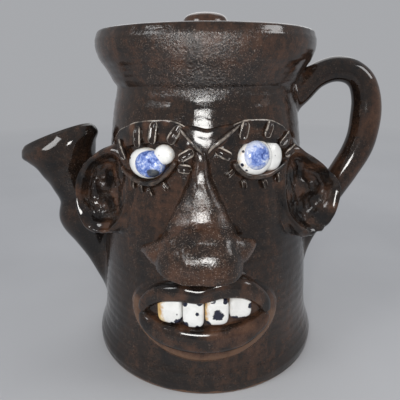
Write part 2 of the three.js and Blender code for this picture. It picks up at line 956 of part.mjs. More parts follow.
// Lips from the left corner to the right: shares of the half span, of the rise or drop, and of
// the lip's thickness
const upperLipShares = [
  [-1, 0, 0], [-0.9, 0.4, 0.55], [-0.66, 0.84, 0.9], [-0.34, 1, 1], [-0.04, 0.88, 0.95],
  [0.28, 1.06, 1], [0.62, 0.94, 0.9], [0.9, 0.44, 0.55], [1, 0, 0],
];
const lowerLipShares = [
  [-1, 0, 0], [-0.9, 0.45, 0.5], [-0.66, 0.84, 0.8], [-0.34, 1, 1], [0, 1.04, 1],
  [0.34, 0.98, 0.96], [0.66, 0.76, 0.78], [0.9, 0.38, 0.5], [1, 0, 0],
];

function lipForm(lipShares, rise, halfHeight) {
  return rod({
    centres: lipShares.map(([out, up]) => {
      return onWall(mouthAcross + lipHalfSpan * out, mouthHeight + rise * up, lipProud);
    }),
    halves: lipShares.map(([, , thick]) => [
      THREE.MathUtils.lerp(lipCornerRadius, halfHeight, thick),
      THREE.MathUtils.lerp(lipCornerRadius, lipHalfDepth, thick),
    ]),
    facing: awayFromAxis,
    around: lipFacets,
    steps: 2,
  });
}

const lipFacets = 10;

// From the left: name, width and length
const teeth = [
  ['outer_left', outerLeftToothWidth, outerLeftToothLength],
  ['inner_left', innerLeftToothWidth, innerLeftToothLength],
  ['inner_right', innerRightToothWidth, innerRightToothLength],
  ['outer_right', outerRightToothWidth, outerRightToothLength],
];

// Widths are laid side by side from the left, about the line between the two middle teeth
function toothForms() {
  let left = teethMiddleAcross - outerLeftToothWidth - innerLeftToothWidth;
  return teeth.map(([name, width, length]) => {
    const across = left + width * halfShare;
    left += width;
    const form = wallPad({
      across,
      height: toothTopHeight - length * halfShare,
      halfWidth: (width - toothGap) * halfShare,
      halfHeight: length * halfShare,
      rise: toothRise,
      sink: mouthPadSink,
      cornerShare: toothCornerShare,
      crownShare: toothCrownShare,
      facets: [slipFacets, padRings],
    });
    return [`tooth_${name}`, form];
  });
}

const toothCornerShare = 0.6;
const toothCrownShare = 0.3;

// Materials

const glaze = (roughness) => new THREE.MeshStandardMaterial({ color: 0x2b1e17, roughness, metalness: 0 });
const whiteGlaze = () => new THREE.MeshStandardMaterial({ color: 0xf1eee4, roughness: 0.15, metalness: 0 });
const blueGlaze = () => new THREE.MeshStandardMaterial({ color: 0x5573bd, roughness: 0.15, metalness: 0 });

// Assembly

const pot = new THREE.Group();
const laid = [];

// Applied pieces are cut to fit the full jug and everything laid before them
function lay(name, form, material) {
  let solid = solidOf(form);
  for (const cutter of laid) solid = solid.subtract(cutter);
  pot.add(meshOf(name, mainPart(solid), material));
  laid.push(solidOf(grown(form, seam)));
}

function buildJug() {
  const bore = solidOf(spoutBore());
  const jug = solidOf(turned(jugProfile(), jugFacets)).subtract(bore);
  pot.add(meshOf('jug_body', jug, glaze(0.2)));
  laid.push(solidOf(grown(fullJug(), seam)));
  const spout = solidOf(spoutOutside()).subtract(laid[0]).subtract(bore);
  pot.add(meshOf('spout', mainPart(spout), glaze(0.2)));
  laid.push(solidOf(grown(spoutOutside(), seam)));
  lay('handle', handleForm(), glaze(0.22));
}

function buildLid() {
  pot.add(meshOf('lid', solidOf(lidForm()), glaze(0.22)));
  pot.add(meshOf('lid_knob', solidOf(knobForm()), glaze(0.2)));
}

function buildMouth() {
  lay('mouth_pad', mouthPadForm(), glaze(0.25));
  for (const [name, form] of toothForms()) lay(name, form, whiteGlaze());
  lay('upper_lip', lipForm(upperLipShares, upperLipRise, upperLipHalfHeight), glaze(0.18));
  lay('lower_lip', lipForm(lowerLipShares, -lowerLipDrop, lowerLipHalfHeight), glaze(0.18));
}

function buildNose() {
  const forms = [
    noseForm(),
    wingForm(leftWingAcross, leftWingHeight),
    wingForm(rightWingAcross, rightWingHeight),
  ];
  let nose = forms.map(solidOf).reduce((whole, part) => whole.add(part));
  for (const cutter of laid) nose = nose.subtract(cutter);
  pot.add(meshOf('nose', mainPart(nose), glaze(0.2)));
  for (const form of forms) laid.push(solidOf(grown(form, seam)));
}

function buildEye(name, { lids, ball, disc, white }) {
  lay(`${name}_eyeball`, eyeBall(...ball), whiteGlaze());
  lay(`${name}_eye_white`, whiteForm(...white), whiteGlaze());
  lay(`${name}_iris`, irisForm(...disc), blueGlaze());
  const { upper, lower } = lidShares[name];
  lay(`${name}_upper_lid`, lidBand(lids, upper, upperLidHalfWidth, upperLidHalfThickness), glaze(0.25));
  lay(`${name}_lower_lid`, lidBand(lids, lower, lowerLidHalfWidth, lowerLidHalfThickness), glaze(0.25));
  const onLid = upperLidHalfThickness + lashHalfThickness;
  for (const [place, ...shares] of upperLashShares[name]) {
    const form = lashForm(lids, shares, lashHalfWidth, lashHalfThickness, onLid);
    lay(`${name}_upper_lash_${place}`, form, glaze(0.2));
  }
  for (const [place, ...shares] of lowerLashShares[name]) {
    const form = lashForm(lids, shares, smallLashHalfWidth, smallLashHalfThickness, smallLashHalfThickness);
    lay(`${name}_lower_lash_${place}`, form, glaze(0.2));
  }
}

buildJug();
buildLid();
buildMouth();
buildNose();
lay('left_ear', earForm({
  side: -1,
  reach: leftEarReach,
  height: leftEarHeight,
  halfWidth: leftEarHalfWidth,
  halfHeight: leftEarHalfHeight,
  outlineShares: leftEarShares,
}), glaze(0.18));
lay('right_ear', earForm({
  side: 1,
  reach: rightEarReach,
  height: rightEarHeight,
  halfWidth: rightEarHalfWidth,
  halfHeight: rightEarHalfHeight,
  outlineShares: rightEarShares,
}), glaze(0.18));
lay('brow_pad', browForm(), glaze(0.2));
buildEye('left', {
  lids: { across: leftLidAcross, height: leftLidHeight },
  ball: [leftEyeAcross, leftEyeHeight, leftEyeHalfWidth, leftEyeHalfHeight],
  disc: [leftIrisAcross, leftIrisHeight, leftIrisHalfWidth, leftIrisHalfHeight],
  white: [leftWhiteAcross, leftWhiteHeight, leftWhiteRadius, leftWhiteRadius, leftWhiteRise],
});
buildEye('right', {
  lids: { across: rightLidAcross, height: rightLidHeight },
  ball: [rightEyeAcross, rightEyeHeight, rightEyeHalfWidth, rightEyeHalfHeight],
  disc: [rightIrisAcross, rightIrisHeight, rightIrisHalfWidth, rightIrisHalfHeight],
  white: [rightWhiteAcross, rightWhiteHeight, rightWhiteHalfWidth, rightWhiteHalfHeight, rightWhiteRise],
});

export default pot;
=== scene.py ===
"""Face coffee pot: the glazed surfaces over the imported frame.

Every piece is built in millimetres from named sizes that repeat the frame's own, with finer
nets, softer joins and hand-made unevenness, and is turned into metres once.
"""

from math import ceil, cos, pi, radians, sin, sqrt

import bpy
import numpy as np
from mathutils import Matrix, Vector
from numpy.linalg import norm

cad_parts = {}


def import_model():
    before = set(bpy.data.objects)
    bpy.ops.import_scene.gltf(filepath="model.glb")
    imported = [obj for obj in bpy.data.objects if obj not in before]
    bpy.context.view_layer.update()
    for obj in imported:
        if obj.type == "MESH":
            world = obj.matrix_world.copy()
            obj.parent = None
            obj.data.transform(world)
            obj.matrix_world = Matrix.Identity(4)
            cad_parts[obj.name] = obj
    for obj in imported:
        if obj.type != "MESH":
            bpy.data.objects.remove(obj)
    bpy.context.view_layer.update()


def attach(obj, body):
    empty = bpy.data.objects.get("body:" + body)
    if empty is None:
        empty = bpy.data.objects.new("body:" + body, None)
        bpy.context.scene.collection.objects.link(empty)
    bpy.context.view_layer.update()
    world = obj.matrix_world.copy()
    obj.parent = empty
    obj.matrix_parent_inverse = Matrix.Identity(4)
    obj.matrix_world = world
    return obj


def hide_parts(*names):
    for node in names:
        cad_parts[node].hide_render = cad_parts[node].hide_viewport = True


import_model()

MM = 0.001
HALF = 0.5

# Sizes, in millimetres. Jug, outside: stations of radius and height, then single sizes
flare = (79.3, 8)
ankle = (75.6, 20)
belly = (73, 46)
temple = (61.8, 154)
neck = neck_radius, neck_height = (57.2, 178.5)
foot_radius = 78.2
foot_round = 2.5
collar_radius = 67.8
collar_rise = 28
collar_bulge = 1.6
lip_radius = 65.4
lip_rise = 4.4
rim_height = neck_height + collar_rise + lip_rise
throwing_ring_spacing = 6.2
throwing_ring_height = 0.16
bare_foot_height = 2.4

# Jug, inside
wall_thickness = 5.5
floor_thickness = 7
lip_thickness = 5
gallery_drop = 16.5
gallery_width = 8.6
lid_clearance = 1.1
floor_round = 9
corner_round = 2.2

# Lid and knob
lid_gap = 0.3
lid_thickness = 4.6
lid_crown = 3.6
lid_skirt_depth = 8
lid_skirt_thickness = 5
lid_round = 1.6
lid_ring_spacing = 5.4
lid_ring_depth = 0.25
knob_stem_radius = 7.6
knob_stem_height = 6.3
knob_radius = 14.2
knob_head_height = 13.2
knob_root = 0.6

# Spout stations: reach, height, half length, half width
spout_tail = (66, 31, 9, 9)
spout_root = (76.5, 60, 11.5, 11.5)
spout_belly = (88.5, 89.5, 17, 17)
spout_throat = (91, 103, 13, 13)
spout_mouth = (100.8, 143.0, 27.4, 13.6)
spout_inlet = (50, 54, 8, 8)
# From throat to mouth: share of the way, share of the half length, and the half width
spout_trumpet = [(0.3, 0.14, 15.6), (0.56, 0.42, 18.2), (0.78, 0.78, 17.8), (0.9, 1.0, 15.8)]
spout_wall = 4
spout_lip_rise = 4.6
spout_lip = 7
spout_tilt = 3.1
spout_curl = 1.4
spout_near_rise = 3.6
spout_far_drop = 2
spout_roll = 0.4
spout_middle = 88

# Handle stations: reach, height, radius
handle_root = (52, 165, 9)
handle_top = (84, 188.5, 8)
handle_outer = (108.2, 157, 10)
handle_foot = (78.5, 87, 9)
handle_tail = (70.8, 50, 3)

# Ears
ear_facing = radians(32)
ear_bowl_depth = 6.5
ear_lean = 5
ear_bowl_skin = 0.8
ear_cheek_skin = 1.6
ear_rim_rise = 6.6
ear_back_depth = 11
ear_ridge_rise = 3.5
ear_forward = 38

# Nose
nose_across = -3.4
nose_top_height = 147
nose_length = 59.5
nose_half_width = 24
nose_bridge_half_width = 3.6
nose_tip_depth = 21
nose_bridge_depth = 5
nose_droop = 11
nose_grain = 0.55

# Eyes and brow
eye_rise = 6.2
iris_rise = 1.3
eye_half_span = 15
brow_fold_half_width = 1.5
# Pads: place across, height, half width, half height and rise
brow_pad = (0, 152, 15, 9.5, 3.2)

# Mouth
mouth_across = -1.6
mouth_height = 51
mouth_pad = (mouth_across, mouth_height - 1.5, 47, 27, 3)
lip_half_span = 37
lip_corner_radius = 2.6
lip_half_depth = 6.4
lip_proud = 3
tooth_top_height = 65
tooth_rise = 6.4
tooth_gap = 0.24
teeth_middle_across = -1.2

# How deep a face piece's back sits in the wall, and the back of a spout, handle or ear
sunk_depth = 2.2
limb_depth = 3.0

# How far the glaze at a piece's foot runs out over the wall
limb_join = 5.0
ear_join = 4.5
nose_join = 2.4
lip_join = 1.8
pad_join = 1.6

# Each kind of piece's swellings: their height and the distance between them
swellings = {
    "handle": (0.2, 30), "eyelid": (0.18, 9), "lash": (0.12, 5), "fold": (0.12, 6), "lip": (0.2, 22),
    "nose": (0.16, 11),
}
# Where the glaze runs thin: the mean, the spread and the distance between thin places
thin_places = {
    "spout": (-0.1, 0.1, 20), "handle": (0.05, 0.1, 40), "ear": (0.04, 0.12, 12), "eyelid": (0.02, 0.12, 8),
    "brow": (0.05, 0.1, 10), "lip": (0.05, 0.12, 12), "nose": (0.05, 0.06, 14),
}

# Curves and nets


def lerp(a, b, share):
    return a + (b - a) * share


def part_way(a, b, *shares):
    """A station between two others, with a share of the way for each of its values"""
    return tuple(map(lerp, a, b, shares))


def circle(around):
    return np.linspace(0, 2 * pi, around, endpoint=False)


def unit(vectors):
    return vectors / np.maximum(norm(vectors, axis=1), 1e-9)[:, None]


def eased(along):
    """Shares from 0 to 1 that lie closer together near both ends"""
    return HALF - HALF * np.cos(np.linspace(0, pi, along))


def catmull(points, shares, closed=False):
    """Places along a centripetal Catmull-Rom curve at the given shares of its spans"""
    points = np.asarray(points, float)
    shares = np.asarray(shares, float)
    count = len(points)
    if closed:
        place = shares * count
        first = np.floor(place).astype(int)
        p0, p1, p2, p3 = (points[(first + k) % count] for k in (-1, 0, 1, 2))
    else:
        place = shares * (count - 1)
        first = np.clip(np.floor(place).astype(int), 0, count - 2)
        padded = np.vstack([2 * points[0] - points[1], points, 2 * points[-1] - points[-2]])
        p0, p1, p2, p3 = (padded[first + k] for k in (0, 1, 2, 3))
    weight = (place - first)[:, None]
    d0, d1, d2 = (
        np.maximum(norm(b - a, axis=1), 1e-6)[:, None] ** HALF
        for a, b in ((p0, p1), (p1, p2), (p2, p3))
    )
    t1 = ((p1 - p0) / d0 - (p2 - p0) / (d0 + d1) + (p2 - p1) / d1) * d1
    t2 = ((p2 - p1) / d1 - (p3 - p1) / (d1 + d2) + (p3 - p2) / d2) * d1
    cubic = 2 * p1 - 2 * p2 + t1 + t2
    square = -3 * p1 + 3 * p2 - 2 * t1 - t2
    return p1 + t1 * weight + square * weight**2 + cubic * weight**3


def smooth_step(low, high, value):
    share = np.clip((value - low) / (high - low), 0, 1)
    return share * share * (3 - 2 * share)


def within(low, low_full, high_full, high, value):
    """Rises smoothly from 0 at low to 1 at low_full, and falls from 1 at high_full to 0 at high"""
    return smooth_step(low, low_full, value) * smooth_step(high, high_full, value)


def smooth_table(values, wanted):
    """Reads evenly spread values at the wanted shares of the way, without kinks or overshoot"""
    spots = np.linspace(0, 1, len(values))
    slopes = np.diff(values) / np.diff(spots)
    product, both = slopes[:-1] * slopes[1:], slopes[:-1] + slopes[1:]
    inner = np.where(product > 0, 2 * product / (both + 1e-12), 0)
    tangents = np.concatenate([[slopes[0]], inner, [slopes[-1]]])
    index = np.clip(np.searchsorted(spots, wanted) - 1, 0, len(spots) - 2)
    span = spots[index + 1] - spots[index]
    t = np.clip((wanted - spots[index]) / span, 0, 1)
    return (
        (2 * t**3 - 3 * t**2 + 1) * values[index]
        + (t**3 - 2 * t**2 + t) * span * tangents[index]
        + (-2 * t**3 + 3 * t**2) * values[index + 1]
        + (t**3 - t**2) * span * tangents[index + 1]
    )


def lumps(points, size, seed, waves=18):
    """Smooth unevenness of about unit height over points, with bumps about size apart"""
    rng = np.random.default_rng(seed)
    ways = unit(rng.normal(size=(waves, 3)))
    ways /= (size * rng.uniform(0.7, 1.6, waves))[:, None]
    turns = points @ (ways.T * 2 * pi) + rng.uniform(0, 2 * pi, waves)
    return np.sin(turns).sum(axis=1) / sqrt(waves * HALF)


def face_out(points, faces):
    """The same faces, turned over if they enclose less than nothing"""
    corners = [(face[0], face[k], face[k + 1]) for face in faces for k in range(1, len(face) - 1)]
    a, b, c = np.asarray(points)[np.array(corners).T]
    return faces if (a * np.cross(b, c)).sum() > 0 else [face[::-1] for face in faces]


def ring_net(rings, wrapped=False, poles=None):
    """Points and outward faces of a closed skin over equal rings, closed by a point at each end"""
    rings = np.asarray(rings, float)
    count, around = rings.shape[:2]
    across = np.arange(around)
    following = (across + 1) % around
    faces = []
    for i in range(count if wrapped else count - 1):
        low, high = i * around, (i + 1) % count * around
        faces += np.stack([low + across, low + following, high + following, high + across], axis=1).tolist()
    points = rings.reshape(-1, 3)
    if not wrapped:
        last, pole = (count - 1) * around, count * around
        pairs = list(zip(across.tolist(), following.tolist()))
        faces += [[pole, b, a] for a, b in pairs]
        faces += [[pole + 1, last + a, last + b] for a, b in pairs]
        points = np.vstack([points, *(poles or (rings[0].mean(axis=0), rings[-1].mean(axis=0)))])
    return points, face_out(points, faces)


def normals_of(points, faces):
    normals = np.zeros_like(points)
    by_size = {}
    for face in faces:
        by_size.setdefault(len(face), []).append(face)
    for size, group in by_size.items():
        index = np.array(group)
        a, b, c = points[index[:, 0]], points[index[:, size // 2]], points[index[:, -1]]
        flat = np.cross(b - a, c - a)
        for k in range(size):
            np.add.at(normals, index[:, k], flat)
    return unit(normals)


def raised(points, faces, amount):
    """Points moved along their normals by an amount each"""
    return points + normals_of(points, faces) * amount[:, None]


def handled(points, faces, kind, seed, less=0.0):
    """A piece as uneven as a hand leaves its kind"""
    height, size = swellings[kind]
    return raised(points, faces, height * lumps(points, size, seed) - less)


def thinness(points, kind, seed):
    mean, spread, size = thin_places[kind]
    return mean + spread * lumps(points, size, seed)


# The wall

collar_shares = ((0.2, 0.12), (0.44, 0.3), (0.72, 0.52), (0.92, 0.76), (1, 1))
wall_line = catmull([
    (foot_radius, 0), (flare[0], foot_round), flare,
    part_way(flare, ankle, HALF, HALF), ankle,
    part_way(ankle, belly, 0.68, 0.42), belly,
    part_way(belly, temple, 0.16, 0.22), part_way(belly, temple, 0.58, 0.64), temple,
    part_way(temple, neck, 0.5, 0.56), neck,
    *[(lerp(neck_radius, collar_radius, out), neck_height + up * collar_rise) for out, up in collar_shares],
], np.linspace(0, 1, 400))


def wall_radius(height):
    return np.interp(height, wall_line[:, 1], wall_line[:, 0])


def reach_of(points):
    return np.hypot(points[:, 0], points[:, 1])


def on_wall(across, height, proud):
    """Places on the wall: millimetres round from the front line, height, and distance off it"""
    radius = wall_radius(height)
    turn = np.asarray(across) / radius
    reach = radius + proud
    spread = np.broadcast_arrays(reach * np.sin(turn), -reach * np.cos(turn), height)
    return np.stack(spread, axis=-1).astype(float)


def grown_round(points, grow):
    """Points with their distance from the axis multiplied by a factor each"""
    moved = points.copy()
    moved[:, :2] *= grow[:, None]
    return moved


def push_round(points, amount):
    """Moves points out from the axis by an amount each"""
    return grown_round(points, 1 + amount / np.maximum(reach_of(points), 1e-6))


def sunk(points, depth=sunk_depth):
    """No point lies deeper in the wall than a given depth"""
    reach, least = reach_of(points), wall_radius(points[:, 2]) - depth
    return grown_round(points, np.where(reach < least, least / np.maximum(reach, 1e-6), 1))


def melted(points, faces, reach):
    """Runs a piece's foot out over the wall in a small hollow curve, as thick glaze does"""
    off = reach_of(points) - wall_radius(points[:, 2])
    normals = normals_of(points, faces)
    radial = away_from_axis(points)
    level = unit(normals - radial * (normals * radial).sum(axis=1)[:, None])
    level *= np.clip(2 * np.abs((normals * level).sum(axis=1)), 0, 1)[:, None]
    near = np.clip(1 - off / reach, 0, 1)
    spread = reach * (1 - np.sqrt(1 - near**2))
    return points + level * spread[:, None]


def settled(points, faces, join, depth=sunk_depth):
    """A piece seated in the wall, with its foot melted to it"""
    return sunk(melted(sunk(points, depth), faces, join), depth)


def away_from_axis(centres):
    return unit(centres * [1, 1, 0])


# Rods and bands


def end_rounding(shares, start, end):
    """How much of its section a rod keeps near its ends, so that they close round"""
    keep = np.ones_like(shares)
    for along, size in ((shares, start), (1 - shares, end)):
        if size:
            near = np.clip(1 - along / size, 0, 1)
            keep *= np.sqrt(np.clip(1 - near**2, 0, 1))
    return np.maximum(keep, 0.02)


def filled(value, power):
    """A circle's coordinate made squarer or flatter"""
    return np.sign(value) * np.abs(value) ** power


def section(around, power):
    """A ring round a section: shares of the side's half size and of the front's"""
    turn = circle(around)
    return filled(np.sin(turn), 2 / power), filled(np.cos(turn), 2 / power)


def rod_rings(centres, halves, around, along, rounding=(0, 0), power=2.0, shaped=None, front=None):
    """Rings along a curve, each with its half width and half depth, that face a front or off the axis"""
    shares = eased(along) if any(rounding) else np.linspace(0, 1, along)
    step = 1e-4
    centre = catmull(centres, shares)
    later, earlier = (catmull(centres, np.clip(shares + reach, 0, 1)) for reach in (step, -step))
    ahead = unit(later - earlier)
    out = away_from_axis(centre) if front is None else np.zeros_like(centre) + front
    out = unit(out - ahead * (out * ahead).sum(axis=1)[:, None])
    side = np.cross(ahead, out)
    half = np.stack([smooth_table(values, shares) for values in np.array(halves, float).T], axis=1)
    half *= end_rounding(shares, *rounding)[:, None]
    wide, deep = section(around, power)
    if shaped is not None:
        wide, deep = shaped(wide, deep)
    return (
        centre[:, None, :]
        + side[:, None, :] * (half[:, 0:1] * wide)[:, :, None]
        + out[:, None, :] * (half[:, 1:2] * deep)[:, :, None]
    )


def band(line, half_width, half_thickness, end_share, around, along, rounding, power, shaped=None):
    """A strip of clay laid on the wall along a line of (across, height, proud).

    Gives its points and faces, and each point's share of the half width, of the front and of the way.
    """
    last = len(line) - 1
    thick = [lerp(end_share, 1, sin(pi * i / last) ** HALF) for i in range(last + 1)]
    centres = on_wall(*np.array(line, float).T)
    halves = [(half_width * t, half_thickness * t) for t in thick]
    rings = rod_rings(centres, halves, around, along, rounding, power, shaped)
    wide, deep = (np.append(np.tile(share, along), [0, 0]) for share in section(around, power))
    return *ring_net(rings), wide, deep, np.append(eased(along).repeat(around), [0, 1])


def wall_pad(across, height, half_width, half_height, rise, crown=1.0, corner=1.0, around=64, front=22,
             outline=None):
    """A crowned pad on the wall with a closed back a little inside it, and how near its edge each point is"""
    turn = circle(around)
    if outline is None:
        wide, high = filled(np.cos(turn), corner) * half_width, filled(np.sin(turn), corner) * half_height
    else:
        edge = catmull([(a * half_width, b * half_height) for a, b in outline], turn / (2 * pi), True)
        wide, high = edge[:, 0], edge[:, 1]
    rows = [
        (sin(lean) ** crown, rise * cos(lean) ** crown)
        for lean in np.linspace(0.04, pi / 2, front)
    ]
    rows += [(1, -0.6), (1, -1.2), (1, -sunk_depth), (0.6, -sunk_depth), (0.1, -sunk_depth)]
    rings = [on_wall(across + wide * spread, height + high * spread, proud) for spread, proud in rows]
    edges = [spread for spread, proud in rows[:front]] + [1] * (len(rows) - front)
    return *ring_net(rings), np.append(np.repeat(edges, around), [0, 1])


# Materials


class Nodes:
    """The node tree of a material or a world, built with short calls"""

    def __init__(self, owner):
        owner.use_nodes = True
        self.owner = owner
        self.tree = owner.node_tree
        self.shader = self.tree.nodes.get("Principled BSDF")
        if self.shader:
            self.place = self.new("TexCoord", "Object")

    def put(self, value, socket):
        """Links an output to a socket, or sets the socket to a number or a colour"""
        if isinstance(value, bpy.types.NodeSocket):
            self.tree.links.new(value, socket)
        else:
            socket.default_value = (*value, 1) if socket.type == "RGBA" else value

    def fill(self, node, values):
        for key, value in values.items():
            if value is not None:
                self.put(value, node.inputs[key])

    def new(self, kind, output, values=(), **settings):
        """Makes a node and gives one of its outputs"""
        node = self.tree.nodes.new("ShaderNode" + kind)
        for key, value in settings.items():
            setattr(node, key, value)
        self.fill(node, dict(values))
        return node.outputs[output]

    def noise(self, scale, detail=3.0, rough=0.5, place=None, distortion=0.0):
        return self.new("TexNoise", "Fac", {
            "Scale": scale, "Detail": detail, "Roughness": rough, "Distortion": distortion,
            "Vector": place or self.place,
        })

    def ramp(self, source, *stops):
        output = self.new("ValToRGB", "Color", {"Fac": source})
        elements = output.node.color_ramp.elements
        while len(elements) < len(stops):
            elements.new(HALF)
        for element, (spot, colour) in zip(elements, stops):
            element.position = spot
            element.color = (*colour, 1)
        return output

    def range(self, source, low, high, to_low, to_high):
        values = {"Value": source, "From Min": low, "From Max": high, "To Min": to_low, "To Max": to_high}
        return self.new("MapRange", "Result", values)

    def math(self, operation, *values):
        return self.new("Math", 0, enumerate(values), operation=operation)

    def total(self, start, *terms):
        """A start value and other values, each with its weight, added up"""
        for value, weight in terms:
            start = self.math("MULTIPLY_ADD", value, weight, start)
        return start

    def mix(self, share, a, b):
        return self.new("Mix", 2, {0: share, 6: a, 7: b}, data_type="RGBA")

    def mark(self, name):
        return self.new("Attribute", "Fac", attribute_name=name)

    def frayed(self, name, amount, scale, detail, rough):
        """A mark whose edge noise breaks up"""
        fray = self.range(self.noise(scale, detail, rough), 0.25, 0.75, -amount, amount)
        return self.math("ADD", self.mark(name), fray)

    def bump(self, height, depth, strength, after=None):
        values = {"Height": height, "Distance": depth, "Strength": strength, "Normal": after}
        return self.new("Bump", "Normal", values)

    def surface(self, values):
        self.fill(self.shader, values)
        return self.owner

    def seen(self):
        """1 for rays that show the surroundings: from the camera, or off a glossy surface"""
        camera = self.new("LightPath", "Is Camera Ray")
        return self.math("MAXIMUM", camera, camera.node.outputs["Is Glossy Ray"])

    def glow(self, kind, colour, strength=1.0):
        return self.new(kind, 0, {"Color": colour, "Strength": strength})

    def blend(self, share, a, b, out):
        self.put(self.new("MixShader", 0, {0: share, 1: a, 2: b}), out.inputs["Surface"])


near_black = (0.0065, 0.0052, 0.0048)
dark_brown = (0.021, 0.0125, 0.0086)
red_brown = (0.060, 0.0285, 0.0165)
bare_clay = (0.125, 0.066, 0.037)
# Pale specks in the glaze; where the speck mark is set they also paint a stippled highlight
pale_speck = (0.20, 0.165, 0.14)
# Pale edge colour: worn glaze, and also a painted highlight line along edges
worn_edge_and_glint = (0.50, 0.44, 0.38)
iron_stain = (0.012, 0.014, 0.03)
iron_dot = (0.05, 0.05, 0.07)
olive = (0.028, 0.03, 0.026)
pale_blue = (0.62, 0.66, 0.76)
# Stops of the ramps: place and colour
white_shades = (0.3, (0.70, 0.70, 0.68)), (0.55, (0.80, 0.80, 0.78)), (0.8, (0.85, 0.85, 0.84))
amber_shades = (0.3, (0.50, 0.27, 0.08)), (0.7, (0.70, 0.52, 0.24))
blue_shades = (
    (0.40, (0.035, 0.06, 0.22)), (0.48, (0.11, 0.18, 0.48)), (0.56, (0.26, 0.35, 0.66)),
    (0.65, (0.66, 0.70, 0.80)),
)
dark_ior = 1.48
white_ior = 1.5


def dark_glaze(name, red_share=0.5, rough=0.08, stipple=0.5, blotch=1.0, wave=0.4, shine_by_haze=False):
    """Glossy iron glaze: near black where thick, red-brown where it ran thin, finely specked. Where marked,
    pale specks also paint a stippled highlight, and rims are painted pale as worn glaze and a highlight line
    """
    nodes = Nodes(bpy.data.materials.new(name))
    broad = nodes.noise(17, distortion=0.5)
    downward = nodes.new("Mapping", "Vector", {"Vector": nodes.place, "Scale": (1, 1, 0.2)})
    runs = nodes.noise(75, 5, 0.62, downward, 0.4)
    mottle = nodes.noise(260, 5, 0.66)
    fine = nodes.noise(1300, 3, 0.6)
    speck, haze = nodes.mark("speck"), nodes.mark("haze")
    thin = nodes.total(
        0.32 * (1 - blotch), (broad, 0.3 * blotch), (runs, 0.27 * blotch), (mottle, 0.31), (fine, 0.16),
        (nodes.mark("thin"), 0.45),
    )
    middle = 0.60 - 0.1 * red_share
    stops = (-0.12, near_black), (-0.02, dark_brown), (0.08, red_brown), (0.26, bare_clay)
    colour = nodes.ramp(thin, *[(middle + spot, shade) for spot, shade in stops])
    # Pale specks, denser where marked: real specks, and on the collar's and nose's front a painted stippled
    # highlight
    specks = nodes.range(nodes.total(fine, (speck, 0.045)), 0.61, 0.70, 0, 1)
    sparse = nodes.math("ADD", nodes.range(nodes.noise(60), 0.42, 0.62, 0.05, 0.5), speck)
    colour = nodes.mix(nodes.math("MULTIPLY", specks, sparse), colour, pale_speck)
    # Rims are painted pale: worn glaze and a painted highlight line
    wear_and_glint = nodes.math("MULTIPLY", nodes.mark("rim"), nodes.range(mottle, 0.4, 0.6, 0.15, 1))
    gloss = nodes.range(nodes.noise(120, 4, 0.6), 0.35, 0.7, rough * 0.7, rough * 1.7)
    patches = nodes.range(nodes.noise(48, 3, 0.6), 0.46, 0.62, 0.1, 1.0)
    normal = nodes.bump(nodes.noise(48, 2, 0.5), 0.0011, wave)
    normal = nodes.bump(nodes.noise(210, 3, 0.55), 0.00035, wave, normal)
    normal = nodes.bump(nodes.math("MULTIPLY", fine, patches), 0.0003, stipple, normal)
    normal = nodes.bump(nodes.math("MULTIPLY", nodes.noise(720, 3, 0.6), haze), 0.0011, 1.0, normal)
    return nodes.surface({
        "Base Color": nodes.mix(wear_and_glint, colour, worn_edge_and_glint),
        "Roughness": nodes.total(gloss, (haze, 0.19)),
        "IOR": dark_ior,
        "Specular IOR Level": nodes.range(haze, 0, 1, 0.5, 1) if shine_by_haze else None,
        "Normal": normal,
    })


def white_glaze(name, dark_share=0.0):
    """Glossy white slip under clear glaze: amber at its thin edges, with dark iron spots"""
    nodes = Nodes(bpy.data.materials.new(name))
    cloud = nodes.noise(160, 4, 0.6, distortion=0.4)
    colour = nodes.ramp(cloud, *white_shades)
    amber = nodes.ramp(nodes.noise(220, 3, 0.6), *amber_shades)
    edge = nodes.frayed("edge", 0.28, 330, 4, 0.65)
    stain = nodes.frayed("stain", 0.22, 420, 4, 0.6)
    colour = nodes.mix(nodes.range(edge, 0.5, 0.86, 0, 1), colour, amber)
    colour = nodes.mix(nodes.range(stain, 0.5, 0.62, 0, 1), colour, iron_stain)
    cells = nodes.new("TexVoronoi", "Distance", {"Scale": 330, "Vector": nodes.place})
    dots = nodes.range(cells, 0.14, 0.2, 0.75, 0)
    seldom = nodes.range(nodes.noise(95, 2), 0.54 - 0.1 * dark_share, 0.6, 0, 1)
    return nodes.surface({
        "Base Color": nodes.mix(nodes.math("MULTIPLY", dots, seldom), colour, iron_dot),
        "Roughness": nodes.range(cloud, 0.3, 0.7, 0.08, 0.18),
        "IOR": white_ior,
        "Normal": nodes.bump(nodes.noise(150), 0.0004, 0.5),
    })


def blue_glaze(name):
    """Cobalt slip, mottled from pale to deep blue, with a dark olive patch"""
    nodes = Nodes(bpy.data.materials.new(name))
    cloud = nodes.noise(230, 5, 0.68, distortion=0.8)
    colour = nodes.ramp(nodes.total(0.0, (cloud, 0.8), (nodes.noise(850, 3, 0.6), 0.25)), *blue_shades)
    stain = nodes.frayed("stain", 0.2, 300, 4, 0.6)
    edge = nodes.frayed("edge", 0.25, 400, 3, 0.6)
    colour = nodes.mix(nodes.range(stain, 0.45, 0.62, 0, 0.92), colour, olive)
    return nodes.surface({
        "Base Color": nodes.mix(nodes.range(edge, 0.45, 0.8, 0, 0.85), colour, pale_blue),
        "Roughness": nodes.range(cloud, 0.3, 0.7, 0.07, 0.16),
        "IOR": white_ior,
        "Normal": nodes.bump(nodes.noise(260, 3, 0.55), 0.0003, 0.5),
    })


